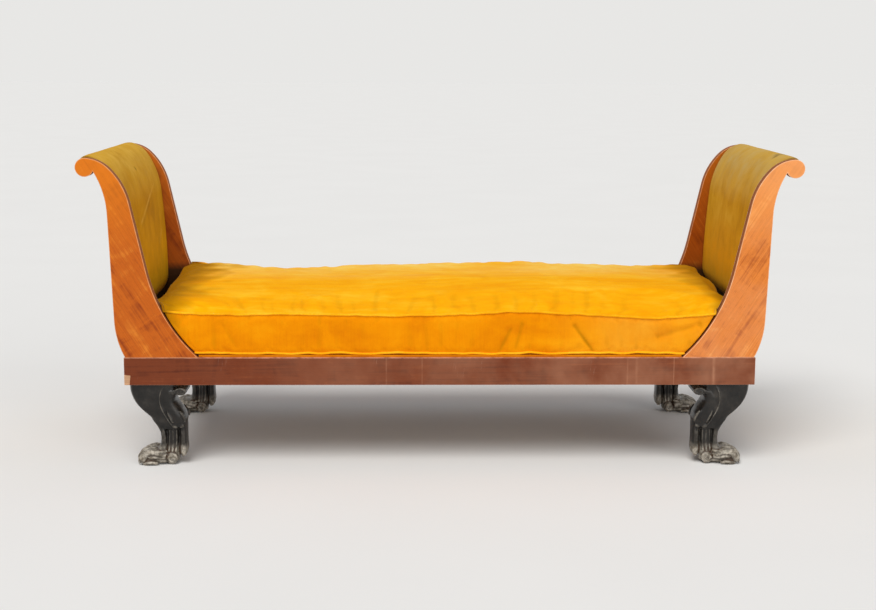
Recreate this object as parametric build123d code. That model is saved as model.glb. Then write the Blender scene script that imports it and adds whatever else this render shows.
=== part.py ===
from build123d import *
from math import atan2, cos, degrees, hypot, radians, sin
import os

os.makedirs("parts", exist_ok=True)

# A daybed with two scrolled ends on four carved animal legs. X runs along it, Y from front to back,
# Z up. The origin is on the floor, midway between the ends and between the front and the back.

# Base frame
rail_length = 1732.0
frame_depth = 720.0
leg_height = 230.0
rail_height = 76.0
rail_thickness = 34.0
end_rail_thickness = 45.0
tenon_width = 14.0
tenon_length = 22.0
tenon_shoulder = 13.0
bearer_width = 45.0
bearer_height = 52.0
bearer_spacing = 580.0
bearer_rise = 8.0
bearer_tenon_shoulder = 6.5
joint_clearance = 0.1
socket_spare = 0.5

# Corner blocks and their screws
block_length = 90.0
block_depth = 70.0
block_height = 60.0
screw_diameter = 5.0
screw_bite = 20.0
screw_head_diameter = 10.0
screw_head_height = 3.0
screw_slot_width = 1.2
screw_slot_depth = 1.0
screw_edge = 12.0
screw_clearance = 0.2

# Scrolled end panels: the inner edge faces the seat, the outer edge faces away from it
panel_thickness = 31.0
panel_setback = 3.0
panel_heel_inset = 3.3
panel_foot_length = 197.6
scroll_radius = 25.0
inner_foot_heading = 43.18
inner_foot_radius = 462.65
inner_foot_turn = 34.36
inner_straight = 188.06
inner_neck_radius = 192.14
inner_neck_turn = -32.9
inner_crest_radius = 92.66
inner_crest_turn = -42.78
outer_foot_heading = 62.63
outer_foot_radius = 238.06
outer_foot_turn = 25.26
outer_straight = 293.0
outer_neck_radius = 241.55
outer_neck_turn = -27.22
outer_lip = 5.7

# Dowels
panel_dowel_diameter = 10.0
panel_dowel_depth = 25.0
panel_dowel_first = 47.0
panel_dowel_pitch = 50.0
panel_dowel_count = 3
rail_dowel_diameter = 8.0
rail_dowel_depth = 16.0
lower_board_dowel_shares = (0.3, 0.8)
middle_board_dowel_shares = (0.2, 0.8)
dowel_clearance = 0.1

# Upholstered back of each end, in layers inside the panels' outer edge
cloth_gap = 0.3
outside_back_inset = 1.5
outside_back_thickness = 1.5
back_rail_thickness = 14.0
lower_back_rail_height = 68.0
middle_back_rail_level = 254.0
middle_back_rail_height = 60.0
back_board_lead = 20.0
crest_roll_radius = 14.0
crest_tenon_diameter = 18.0
crest_tenon_length = 18.0
webbing_width = 50.0
webbing_thickness = 1.5
back_webbing_strips = 5
back_webbing_pitch = 120.0
base_cloth_thickness = 0.8
base_cloth_side_gap = 2.0
pad_foot_level = 36.0
pad_cover_thickness = 1.3
pad_side_gap = 0.3

# Distance of the pad's face from the panels' outer edge, at the start, middle and end of each stretch
# of that edge: foot, straight, neck, joining curve, over the crest roll and under it
pad_depths = [
    (26.0, 30.0, 38.0),
    (38.0, 40.5, 34.5),
    (34.5, 31.5, 26.0),
    (26.0, 26.5, 33.0),
    (33.0, 31.0, 26.0),
    (26.0, 25.5, 25.5),
]

# How much of the crown's rise each of those places takes
pad_crown_shares = [
    (1.0, 1.0, 1.0),
    (1.0, 1.0, 1.0),
    (1.0, 1.0, 1.0),
    (1.0, 0.7, 0.4),
    (0.4, 0.4, 0.4),
    (0.4, 0.4, 0.4),
]

# The pad's crown: its rise at shares of the half width, falling to drawn-in sides at the panels
pad_crown = [(-1.0, -2.0), (-0.92, 2.0), (-0.6, 6.0), (0.0, 8.0), (0.6, 6.0), (0.92, 2.0), (1.0, -2.0)]
crest_wrap_heading = -90.0
crest_tuck_heading = -190.0
webbing_end_heading = -60.0

# Seat deck
seat_webbing_thickness = 2.0
seat_webbing_strips = 9
seat_webbing_pitch = 145.0
long_webbing_strips = 5
long_webbing_pitch = 120.0
webbing_landing = 19.0
deck_cloth_thickness = 1.0
deck_cover_thickness = 3.0
deck_front_margin = 11.0
deck_panel_gap = 2.0
deck_cloth_clearance = 0.5
webbing_end_clearance = 1.0

# Loose mattress
mattress_gap = 0.3
mattress_end_gap = 4.0
mattress_front_inset = 10.0
mattress_side_bulge = 4.0
mattress_ticking = 2.0
mattress_overrun = 20.0
mattress_right_swell = 50.0
mattress_left_swell = 14.0
mattress_swell_side_gap = 2.0

# How the mattress's ends swell between the panels: shares of the half width and of the swell
mattress_swell_shares = [
    (-1.0, -0.05),
    (-0.93, 0.7),
    (-0.75, 0.93),
    (0.0, 1.0),
    (0.75, 0.93),
    (0.93, 0.7),
    (1.0, -0.05),
]

# Share of the half length, then heights above the rails' top: front edge, crown and rear edge
mattress_heights = [
    (-1.0, 126.0, 160.0, 162.0),
    (-0.5, 121.0, 158.0, 146.0),
    (0.0, 117.0, 164.0, 157.0),
    (0.34, 127.0, 170.0, 166.0),
    (0.68, 111.0, 160.0, 158.0),
    (1.0, 121.0, 156.0, 154.0),
]

# Legs. Each section: share of the leg's height, inner and outer reach from the leg's axis, half width
leg_inset = 89.0
leg_face_setback = 8.0
leg_half_width = 45.0
leg_sections = [
    (1.0, -52.0, 78.0, leg_half_width),
    (0.87, -52.0, 73.0, leg_half_width),
    (0.78, -53.0, 65.0, 44.0),
    (0.69, -60.0, 48.0, 41.0),
    (0.61, -70.0, 25.0, 38.0),
    (0.54, -79.0, 11.0, 36.0),
    (0.46, -83.0, 4.0, 34.0),
    (0.36, -84.0, -2.0, 32.0),
    (0.24, -84.0, -5.0, 33.0),
    (0.1, -80.0, -6.0, 34.0),
]
leg_corner_share = 0.42
leg_tenon_diameter = 36.0
leg_tenon_length = 45.0
leg_tenon_setback = 35.0
volute_radius = 15.0
volute_reach = -71.0
volute_half_width = 41.0

# Paw. Each section: reach from the leg's axis, height, half width
paw_sections = [
    (-80.0, 22.0, 20.0),
    (-66.0, 40.0, 33.0),
    (-30.0, 50.0, 40.0),
    (0.0, 60.0, 43.0),
    (22.0, 62.0, 44.0),
    (38.0, 40.0, 42.0),
]
paw_corner_share = 0.8
toe_count = 4
toe_pitch = 22.5
toe_radius = 12.5
toe_root_radius = 13.75
toe_length = 48.0
toe_tip_reach = 62.0
toe_tip_height = 10.6
toe_dip = 24.0
outer_toe_pullback = 9.0
knuckle_radius = 16.0
knuckle_setback = 28.0
knuckle_height = 37.0

# Places worked out from the sizes above
half_length = rail_length / 2
half_depth = frame_depth / 2
rail_top = leg_height + rail_height
rail_inside = half_depth - rail_thickness
panel_outside = half_depth - panel_setback
panel_inside = panel_outside - panel_thickness
panel_middle = (panel_outside + panel_inside) / 2
heel_x = half_length - panel_heel_inset
toe_x = heel_x - panel_foot_length
end_rail_inside = half_length - end_rail_thickness
end_rail_top = rail_top - seat_webbing_thickness
back_rail_inset = outside_back_inset + outside_back_thickness + cloth_gap
back_webbing_inset = back_rail_inset + back_rail_thickness + cloth_gap
base_cloth_inset = back_webbing_inset + webbing_thickness + cloth_gap
pad_back_inset = base_cloth_inset + base_cloth_thickness + cloth_gap
deck_top = rail_top + seat_webbing_thickness + deck_cloth_thickness + deck_cover_thickness
leg_x = half_length - leg_inset
leg_y = half_depth - leg_face_setback - leg_half_width
far = 2 * rail_length

inner_steps = [
    (inner_foot_radius, inner_foot_turn),
    (inner_straight, 0.0),
    (inner_neck_radius, inner_neck_turn),
    (inner_crest_radius, inner_crest_turn),
]
outer_steps = [
    (outer_foot_radius, outer_foot_turn),
    (outer_straight, 0.0),
    (outer_neck_radius, outer_neck_turn),
]

parts = {}


def shifted(x, z, heading, offset):
    """A point moved to the left of its heading."""
    return (x - offset * sin(heading), z + offset * cos(heading))


def follow(start, heading, steps, offset=0.0):
    """Stretches (first, middle, last, their headings) of a chain of lines and arcs, and where it ends.

    A step is (length, 0) for a line or (radius, turn) for an arc, and a turn to the left is positive.
    """
    x, z = start
    angle = radians(heading)
    stretches = []
    for size, turn in steps:
        first = shifted(x, z, angle, offset)
        start_angle = angle
        half_angle = angle + radians(turn) / 2
        if turn == 0:
            middle = shifted(x + size / 2 * cos(angle), z + size / 2 * sin(angle), angle, offset)
            x += size * cos(angle)
            z += size * sin(angle)
        else:
            side = 1 if turn > 0 else -1
            centre_x = x - side * size * sin(angle)
            centre_z = z + side * size * cos(angle)
            middle_x = centre_x + side * size * sin(half_angle)
            middle_z = centre_z - side * size * cos(half_angle)
            middle = shifted(middle_x, middle_z, half_angle, offset)
            angle += radians(turn)
            x = centre_x + side * size * sin(angle)
            z = centre_z - side * size * cos(angle)
        headings = (start_angle, half_angle, angle)
        stretches.append((first, middle, shifted(x, z, angle, offset), headings))
    return stretches, (x, z, degrees(angle))


def edge_through(first, middle, last, y=0.0):
    """A straight edge where the three points are in line, and an arc where they are not."""
    a = Vector(first[0], y, first[1])
    b = Vector(middle[0], y, middle[1])
    c = Vector(last[0], y, last[1])
    bend = (b - a).cross(c - a).length
    if bend < 1e-6 * (c - a).length:
        return Edge.make_line(a, c)
    return Edge.make_three_point_arc(a, b, c)


def closed_face(edges):
    """The face inside a run of edges, with straight edges across the two open places."""
    loop = []
    for edge, following in zip(edges, edges[1:] + edges[:1]):
        loop.append(edge)
        if (edge @ 1 - following @ 0).length > 1e-6:
            loop.append(Edge.make_line(edge @ 1, following @ 0))
    return Face(Wire(loop))


def band_face(near, away, y=0.0):
    """The face between two lists of stretches that run side by side."""
    edges = [edge_through(*stretch[:3], y) for stretch in near]
    edges += [edge_through(last, middle, first, y) for first, middle, last, _ in reversed(away)]
    return closed_face(edges)


def across(face, half_width):
    """A face in the X-Z plane thickened equally to the front and the back."""
    return extrude(face, amount=half_width, dir=(0, 1, 0), both=True)


def block(low, high):
    """A box between two corners."""
    size = [b - a for a, b in zip(low, high)]
    middle = [(a + b) / 2 for a, b in zip(low, high)]
    return Pos(*middle) * Box(*size)


def rod(diameter, start, direction, length):
    """A round rod from a point, along a direction."""
    return Solid.make_cylinder(diameter / 2, length, Plane(origin=start, z_dir=direction))


def between_levels(low, high):
    """Everything between two heights."""
    return block((-far, -far, low), (far, far, high))


def to_rear(shape):
    return mirror(shape, about=Plane.XZ)


def to_left(shape):
    return mirror(shape, about=Plane.YZ)


def to_far_corner(shape):
    return Rot(0, 0, 180) * shape


def keep_ends(name, shape):
    """A piece of the right end, and the same piece turned round for the left end."""
    parts["right_" + name] = shape
    parts["left_" + name] = to_far_corner(shape)


def keep_corners(name, shape):
    """A piece of the front right corner and its mirror images at the other corners."""
    parts["front_right_" + name] = shape
    parts["front_left_" + name] = to_left(shape)
    parts["rear_right_" + name] = to_rear(shape)
    parts["rear_left_" + name] = to_far_corner(shape)


def four_ways(shapes):
    """Pieces of the front right corner with their images at the other corners."""
    images = (lambda shape: shape, to_left, to_rear, to_far_corner)
    return [image(shape) for image in images for shape in shapes]


# The scroll's centre lies below the end of the inner edge, square to it
inner_edge, (crest_x, crest_z, crest_heading) = follow((toe_x, rail_top), inner_foot_heading, inner_steps)
scroll_x, scroll_z = shifted(crest_x, crest_z, radians(crest_heading), -scroll_radius)
outer_edge, (neck_x, neck_z, neck_heading) = follow((heel_x, rail_top), outer_foot_heading, outer_steps)


def back_steps():
    """The outer edge's steps, led in from below and carried on round the crest roll."""
    angle = radians(neck_heading)
    to_scroll = (scroll_x - neck_x, scroll_z - neck_z)
    roll_radius = crest_roll_radius - back_rail_inset - back_rail_thickness
    sideways = to_scroll[0] * sin(angle) - to_scroll[1] * cos(angle)
    joining_radius = (hypot(*to_scroll) ** 2 - roll_radius**2) / (2 * (sideways - roll_radius))
    centre_x = neck_x + joining_radius * sin(angle)
    centre_z = neck_z - joining_radius * cos(angle)
    roll_heading = degrees(atan2(centre_x - scroll_x, scroll_z - centre_z))
    return outer_steps + [
        (joining_radius, roll_heading - neck_heading),
        (roll_radius, crest_wrap_heading - roll_heading),
        (roll_radius, crest_tuck_heading - crest_wrap_heading),
    ], roll_heading


all_back_steps, roll_start_heading = back_steps()


def back_line(offset, steps=None):
    """The run of the end's back at a distance inside the panels' outer edge."""
    return follow((heel_x, rail_top), outer_foot_heading, steps or all_back_steps, offset)[0]


def back_layer(inset, thickness, half_width, steps=None):
    """A sheet or board that follows the end's back."""
    face = band_face(back_line(inset, steps), back_line(inset + thickness, steps))
    return across(face, half_width)


def back_point(inset, level):
    """The place on the end's back at a distance inside the outer edge and a height above the rails."""
    for first, middle, last, _ in back_line(inset):
        edge = edge_through(first, middle, last)
        if first[1] <= rail_top + level <= last[1]:
            hits = [p for p in range(101) if (edge @ (p / 100)).Z >= rail_top + level]
            return edge @ (hits[0] / 100)
    raise ValueError("no such level on the end's back")


def panel_dowel_places():
    return [toe_x + panel_dowel_first + i * panel_dowel_pitch for i in range(panel_dowel_count)]


def rail_dowel_places():
    """Points on the cross boards' ends where the dowels sit."""
    inset = back_rail_inset + back_rail_thickness / 2
    lower = [share * lower_back_rail_height for share in lower_board_dowel_shares]
    middle = [middle_back_rail_level + share * middle_back_rail_height for share in middle_board_dowel_shares]
    return [back_point(inset, level) for level in lower + middle]


def rail_dowels(diameter, spare):
    """Front dowels of the cross boards, or the holes that they sit in."""
    length = 2 * rail_dowel_depth + 2 * spare
    start_y = -panel_inside - rail_dowel_depth - spare
    return [rod(diameter, (p.X, start_y, p.Z), (0, 1, 0), length) for p in rail_dowel_places()]


def panel_dowels(diameter, spare):
    """Front dowels between the panel and the rail, or the holes that they sit in."""
    length = 2 * panel_dowel_depth + 2 * spare
    start_z = rail_top - panel_dowel_depth - spare
    return [rod(diameter, (x, -panel_middle, start_z), (0, 0, 1), length) for x in panel_dowel_places()]


def block_screw_places():
    """Where the corner block's screws enter, on its inner face."""
    level = leg_height + block_height / 2
    inner_x = end_rail_inside - block_length + screw_edge
    outer_x = end_rail_inside - screw_edge
    return [(inner_x, -rail_inside + block_depth, level), (outer_x, -rail_inside + block_depth, level)]


def screw_shape(place, allowance):
    """A countersunk screw, or with an allowance the hole for it."""
    head_radius = screw_head_diameter / 2 + allowance
    shank_radius = screw_diameter / 2 + allowance
    entry = Plane(origin=place, z_dir=(0, -1, 0))
    head = Solid.make_cone(head_radius, shank_radius, screw_head_height, entry)
    length = block_depth + screw_bite + allowance
    return head + Solid.make_cylinder(shank_radius, length, entry)


def slotted_screw(place):
    x, y, z = place
    slot = block((x - screw_head_diameter, y - screw_slot_depth, z - screw_slot_width / 2),
                 (x + screw_head_diameter, y + screw_slot_depth, z + screw_slot_width / 2))
    return screw_shape(place, 0) - slot


def end_rail_tenon(clearance, spare):
    """The front tenon of the right end rail, or its mortise."""
    middle_x = half_length - end_rail_thickness / 2
    half = tenon_width / 2 + clearance
    low = (middle_x - half, -rail_inside - tenon_length - spare, leg_height + tenon_shoulder - clearance)
    high = (middle_x + half, -rail_inside, end_rail_top - tenon_shoulder + clearance)
    return block(low, high)


def bearer_tenon(clearance, spare):
    """The front tenon of the right cross bearer, or its mortise."""
    middle_x = bearer_spacing / 2
    half = tenon_width / 2 + clearance
    low_z = leg_height + bearer_rise + bearer_tenon_shoulder - clearance
    high_z = leg_height + bearer_rise + bearer_height - bearer_tenon_shoulder + clearance
    return block((middle_x - half, -rail_inside - tenon_length - spare, low_z),
                 (middle_x + half, -rail_inside, high_z))


def long_rail():
    """The front rail with its mortises, dowel holes and screw holes."""
    rail = block((-half_length, -half_depth, leg_height), (half_length, -rail_inside, rail_top))
    holes = [end_rail_tenon(joint_clearance, socket_spare), bearer_tenon(joint_clearance, socket_spare)]
    holes += panel_dowels(panel_dowel_diameter + 2 * dowel_clearance, socket_spare)
    holes += [screw_shape(place, screw_clearance) for place in block_screw_places()]
    for hole in holes:
        rail -= hole
        rail -= to_left(hole)
    return rail


def end_rail():
    """The right end rail, a webbing's thickness lower than the long rails."""
    rail = block((end_rail_inside, -rail_inside, leg_height), (half_length, rail_inside, end_rail_top))
    tenon = end_rail_tenon(0, 0)
    return rail + tenon + to_rear(tenon)


def cross_bearer():
    low = (bearer_spacing / 2 - bearer_width / 2, -rail_inside, leg_height + bearer_rise)
    high = (bearer_spacing / 2 + bearer_width / 2, rail_inside, leg_height + bearer_rise + bearer_height)
    tenon = bearer_tenon(0, 0)
    return block(low, high) + tenon + to_rear(tenon)


def leg_tenon(clearance, spare):
    place = (leg_x, -rail_inside + leg_tenon_setback, leg_height)
    return rod(leg_tenon_diameter + 2 * clearance, place, (0, 0, 1), leg_tenon_length + spare)


def corner_block():
    """The block that ties a corner together and takes the leg's round tenon."""
    low = (end_rail_inside - block_length, -rail_inside, leg_height)
    high = (end_rail_inside, -rail_inside + block_depth, leg_height + block_height)
    shape = block(low, high) - leg_tenon(joint_clearance, socket_spare)
    for place in block_screw_places():
        shape -= screw_shape(place, screw_clearance)
    return shape


def scroll_panel():
    """The front right end panel: a swept foot that narrows to a neck and curls over in a scroll."""
    lip, _ = follow((neck_x, neck_z), neck_heading, [(outer_lip, 0.0)])
    edges = [edge_through(*stretch[:3], -panel_middle) for stretch in inner_edge]
    edges.append(Edge.make_line(edges[-1] @ 1, Vector(scroll_x, -panel_middle, scroll_z)))
    outside = [edge_through(last, middle, first, -panel_middle) for first, middle, last, _ in
               reversed(outer_edge + lip)]
    board = across(closed_face(edges + outside), panel_thickness / 2)
    disc_start = (scroll_x, -panel_outside, scroll_z)
    panel = board + rod(2 * scroll_radius, disc_start, (0, 1, 0), panel_thickness)
    for hole in rail_dowels(rail_dowel_diameter + 2 * dowel_clearance, socket_spare):
        panel -= hole
    for hole in panel_dowels(panel_dowel_diameter + 2 * dowel_clearance, socket_spare):
        panel -= hole
    return panel - crest_tenon(joint_clearance, socket_spare)


def crest_tenon(clearance, spare):
    start = (scroll_x, -panel_inside - crest_tenon_length - spare, scroll_z)
    return rod(crest_tenon_diameter + 2 * clearance, start, (0, 1, 0), crest_tenon_length + spare)


def crest_roll():
    """The round rail inside the scroll, with a turned tenon at each end."""
    log = rod(2 * crest_roll_radius, (scroll_x, -panel_inside, scroll_z), (0, 1, 0), 2 * panel_inside)
    tenon = crest_tenon(0, 0)
    return log + tenon + to_rear(tenon)


def back_board(low, high):
    """A cross board of the end's back between two heights, drilled for its dowels."""
    angle = radians(outer_foot_heading)
    start = (heel_x - back_board_lead * cos(angle), rail_top - back_board_lead * sin(angle))
    steps = [(back_board_lead, 0.0)] + outer_steps
    near = follow(start, outer_foot_heading, steps, back_rail_inset)[0]
    away = follow(start, outer_foot_heading, steps, back_rail_inset + back_rail_thickness)[0]
    board = across(band_face(near, away), panel_inside) & between_levels(low, high)
    for hole in rail_dowels(rail_dowel_diameter + 2 * dowel_clearance, socket_spare):
        board -= hole
        board -= to_rear(hole)
    return board


def webbing_steps():
    """The back's steps as far as the top of the crest roll, where the webbing is tacked."""
    roll_radius = all_back_steps[-2][0]
    return all_back_steps[:-2] + [(roll_radius, webbing_end_heading - roll_start_heading)]


def back_webbing():
    """Upright strips of webbing from the lower board to the top of the crest roll."""
    strip = back_layer(back_webbing_inset, webbing_thickness, webbing_width / 2, webbing_steps())
    first = -(back_webbing_strips - 1) / 2
    return Compound([Pos(0, (first + i) * back_webbing_pitch, 0) * strip for i in range(back_webbing_strips)])


def back_base_cloth():
    half_width = panel_inside - base_cloth_side_gap
    return back_layer(base_cloth_inset, base_cloth_thickness, half_width, webbing_steps())


def pad_face_line(rise, under):
    """The pad's face in section, or a layer that far under it, beside the run of the end's back."""
    face = []
    for (first, middle, last, headings), depths, shares in zip(back_line(0.0), pad_depths, pad_crown_shares):
        points = [shifted(*point, heading, depth - under + share * rise) for point, heading, depth, share in
                  zip((first, middle, last), headings, depths, shares)]
        face.append((*points, headings))
    return face


def crowned(section, half_width):
    """A loft of a section that rises across the width and draws in at the panels."""
    return loft([section(rise, share * half_width) for share, rise in pad_crown])


def pad_stuffing():
    """The shaped stuffing of an end, thin at its foot and over the crest roll."""
    under = pad_cover_thickness + cloth_gap

    def section(rise, y):
        return band_face(back_line(pad_back_inset), pad_face_line(rise, under), y)

    solid = crowned(section, panel_inside - pad_side_gap)
    return solid & between_levels(rail_top + pad_foot_level, far)


def pad_cover():
    """The cloth over the stuffing, from behind the mattress to under the crest roll."""

    def section(rise, y):
        return band_face(pad_face_line(rise, pad_cover_thickness), pad_face_line(rise, 0), y)

    solid = crowned(section, panel_inside - pad_side_gap)
    return solid & between_levels(rail_top + pad_foot_level, far)


def seat_webbing():
    """Strips across the seat, laid over the long rails."""
    half_length_of_strip = half_depth - deck_front_margin - deck_cover_thickness - webbing_end_clearance
    strip = block((-webbing_width / 2, -half_length_of_strip, rail_top),
                  (webbing_width / 2, half_length_of_strip, rail_top + seat_webbing_thickness))
    first = -(seat_webbing_strips - 1) / 2
    return Compound([Pos((first + i) * seat_webbing_pitch, 0, 0) * strip for i in range(seat_webbing_strips)])


def long_webbing():
    """Strips along the seat, under the others, laid over the lower end rails."""
    reach = end_rail_inside + webbing_landing
    strip = block((-reach, -webbing_width / 2, end_rail_top), (reach, webbing_width / 2, rail_top))
    first = -(long_webbing_strips - 1) / 2
    return Compound([Pos(0, (first + i) * long_webbing_pitch, 0) * strip for i in range(long_webbing_strips)])


def deck_sheet(low, high, trim):
    """A layer of the seat deck, notched round the panels."""
    wide_x = toe_x - deck_panel_gap - trim
    long_x = end_rail_inside + webbing_landing - trim
    wide_y = half_depth - deck_front_margin - trim
    narrow_y = panel_inside - deck_panel_gap / 2 - trim
    wide = block((-wide_x, -wide_y, low), (wide_x, wide_y, high))
    return wide + block((-long_x, -narrow_y, low), (long_x, narrow_y, high))


def deck_cloth():
    low = rail_top + seat_webbing_thickness
    return deck_sheet(low, low + deck_cloth_thickness, deck_cover_thickness + deck_cloth_clearance)


def deck_cover():
    """The deck's cover, turned down on to the rails at the front and the back."""
    sheet = deck_sheet(deck_top - deck_cover_thickness, deck_top, 0)
    wide_x = toe_x - deck_panel_gap
    edge_y = half_depth - deck_front_margin
    hem = block((-wide_x, -edge_y, rail_top), (wide_x, deck_cover_thickness - edge_y, deck_top))
    return sheet + hem + to_rear(hem)


def mattress_end(inset, swell, y, side):
    """One end's edges at a place across the mattress, beside the panels' inner edges. side is -1 at the left."""
    start = (toe_x + swell, rail_top)
    chain = follow(start, inner_foot_heading, inner_steps[:2], mattress_end_gap + inset)[0]
    stretches = [[(side * x, z) for x, z in stretch[:3]] for stretch in chain]
    if side < 0:
        stretches = [stretch[::-1] for stretch in reversed(stretches)]
    return [edge_through(*stretch, y) for stretch in stretches]


def mattress_room(inset):
    """Where the mattress may be: up to the panels' inner edges, and swollen between the panels."""
    outline = closed_face(mattress_end(inset, 0, 0, 1) + mattress_end(inset, 0, 0, -1))
    half_width = panel_inside - mattress_swell_side_gap - inset
    sections = []
    for share, swell_share in mattress_swell_shares:
        right = mattress_end(inset, swell_share * mattress_right_swell, share * half_width, 1)
        left = mattress_end(inset, swell_share * mattress_left_swell, share * half_width, -1)
        sections.append(closed_face(right + left))
    return across(outline, half_depth) + loft(sections)


def mattress(inset):
    """The loose mattress: crowned and lower at the front, with ends that fit between the ends of the daybed."""
    base = deck_top + mattress_gap + inset
    bulge_y = half_depth - mattress_front_inset - inset
    welt_y = bulge_y - mattress_side_bulge
    reach = toe_x + panel_foot_length - mattress_overrun
    sections = []
    for share, front, crown, rear in mattress_heights:
        x = share * reach
        front_z = rail_top + front - inset
        rear_z = rail_top + rear - inset
        corners = [Vector(x, -welt_y, base), Vector(x, welt_y, base),
                   Vector(x, welt_y, rear_z), Vector(x, -welt_y, front_z)]
        rear_middle = Vector(x, bulge_y, (base + rear_z) / 2)
        front_middle = Vector(x, -bulge_y, (base + front_z) / 2)
        top_middle = Vector(x, 0, rail_top + crown - inset)
        edges = [
            Edge.make_line(corners[0], corners[1]),
            Edge.make_three_point_arc(corners[1], rear_middle, corners[2]),
            Edge.make_three_point_arc(corners[2], top_middle, corners[3]),
            Edge.make_three_point_arc(corners[3], front_middle, corners[0]),
        ]
        sections.append(Face(Wire(edges)))
    return loft(sections) & mattress_room(inset)


def mattress_cover():
    return mattress(0) - mattress(mattress_ticking)


def paw_toe(y, pullback):
    """One toe: a rounded joint that dips to its tip, in front of a raised knuckle."""
    tip = Vector(leg_x + toe_tip_reach - pullback, y, toe_tip_height)
    nose_drop = toe_radius * cos(radians(45))
    root = Vector(-toe_length, 0, toe_root_radius)
    outline = [
        Edge.make_three_point_arc(Vector(0, 0, 0), Vector(nose_drop - toe_radius, 0, nose_drop),
                                  Vector(-toe_radius, 0, toe_radius)),
        Edge.make_line(Vector(-toe_radius, 0, toe_radius), root),
        Edge.make_line(root, Vector(-toe_length, 0, 0)),
        Edge.make_line(Vector(-toe_length, 0, 0), Vector(0, 0, 0)),
    ]
    joint = revolve(Face(Wire(outline)), axis=Axis.X, revolution_arc=360)
    knuckle_x = tip.X - knuckle_setback
    return [Pos(*tip) * Rot(0, toe_dip, 0) * joint, Pos(knuckle_x, y, knuckle_height) * Sphere(knuckle_radius)]


def paw():
    """The broad paw as sections taller than it is, which the floor cuts flat."""
    sections = []
    for reach, height, half_width in paw_sections:
        outline = RectangleRounded(2 * half_width, 2 * height, paw_corner_share * min(height, half_width))
        place = Plane(origin=(leg_x + reach, -leg_y, 0), x_dir=(0, 1, 0), z_dir=(1, 0, 0))
        sections.append(place * outline)
    return loft(sections)


def leg():
    """The front right leg: a broad thigh under the rail, a lean shank and a paw, with a volute inside."""
    sections = []
    for share, inner, outer, half_width in leg_sections:
        width = outer - inner
        corner = leg_corner_share * min(width, 2 * half_width)
        place = Pos(leg_x + (inner + outer) / 2, -leg_y, share * leg_height)
        sections.append(place * RectangleRounded(width, 2 * half_width, corner))
    shape = loft(sections) + paw()
    first = -(toe_count - 1) / 2
    for i in range(toe_count):
        pullback = outer_toe_pullback if i in (0, toe_count - 1) else 0
        for piece in paw_toe(-leg_y + (first + i) * toe_pitch, pullback):
            shape += piece
    volute_x = leg_x + volute_reach
    volute_z = leg_height - volute_radius
    front_y = -leg_y - volute_half_width
    shape += rod(2 * volute_radius, (volute_x, front_y, volute_z), (0, 1, 0), 2 * volute_half_width)
    shape += block((volute_x, front_y, volute_z), (leg_x, front_y + 2 * volute_half_width, leg_height))
    return (shape & between_levels(0, leg_height)) + leg_tenon(0, 0)


def make_base():
    parts["front_rail"] = long_rail()
    parts["rear_rail"] = to_rear(parts["front_rail"])
    keep_ends("end_rail", end_rail())
    keep_ends("cross_bearer", cross_bearer())
    keep_corners("corner_block", corner_block())
    parts["corner_block_screws"] = Compound(four_ways([slotted_screw(p) for p in block_screw_places()]))
    keep_corners("leg", leg())


def make_ends():
    keep_corners("scroll_panel", scroll_panel())
    parts["panel_dowels"] = Compound(four_ways(panel_dowels(panel_dowel_diameter, 0)))
    parts["back_board_dowels"] = Compound(four_ways(rail_dowels(rail_dowel_diameter, 0)))
    keep_ends("crest_roll", crest_roll())
    keep_ends("lower_back_board", back_board(end_rail_top, rail_top + lower_back_rail_height))
    middle_low = rail_top + middle_back_rail_level
    keep_ends("middle_back_board", back_board(middle_low, middle_low + middle_back_rail_height))
    keep_ends("back_webbing", back_webbing())
    keep_ends("back_base_cloth", back_base_cloth())
    keep_ends("pad_stuffing", pad_stuffing())
    keep_ends("pad_cover", pad_cover())
    outside = back_layer(outside_back_inset, outside_back_thickness, panel_inside - pad_side_gap, outer_steps)
    keep_ends("outside_back", outside)


def make_seat():
    parts["seat_webbing"] = seat_webbing()
    parts["long_webbing"] = long_webbing()
    parts["deck_cloth"] = deck_cloth()
    parts["deck_cover"] = deck_cover()
    parts["mattress_cover"] = mattress_cover()
    parts["mattress_filling"] = mattress(mattress_ticking + mattress_gap)


make_base()
make_ends()
make_seat()

for name, shape in parts.items():
    export_step(shape, f"parts/{name}.step")
    print(name, round(shape.volume))
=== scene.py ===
# %% [markdown]
# # A daybed with scrolled ends
#
# This lesson dresses a daybed of polished mahogany and golden velvet. Its construction comes in as a fixed
# frame: rails, end panels, legs, webbing and plain solids for the soft parts. Here every surface gets its
# finish, and the mattress, the upholstered ends and the carved legs are modelled round that frame.
#
# The frame is loaded first. The dressed model may not outgrow it.

from math import cos, exp, hypot, pi, radians, sin

import bmesh
import bpy
from mathutils import Matrix, Vector, noise
from mathutils.bvhtree import BVHTree


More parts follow.
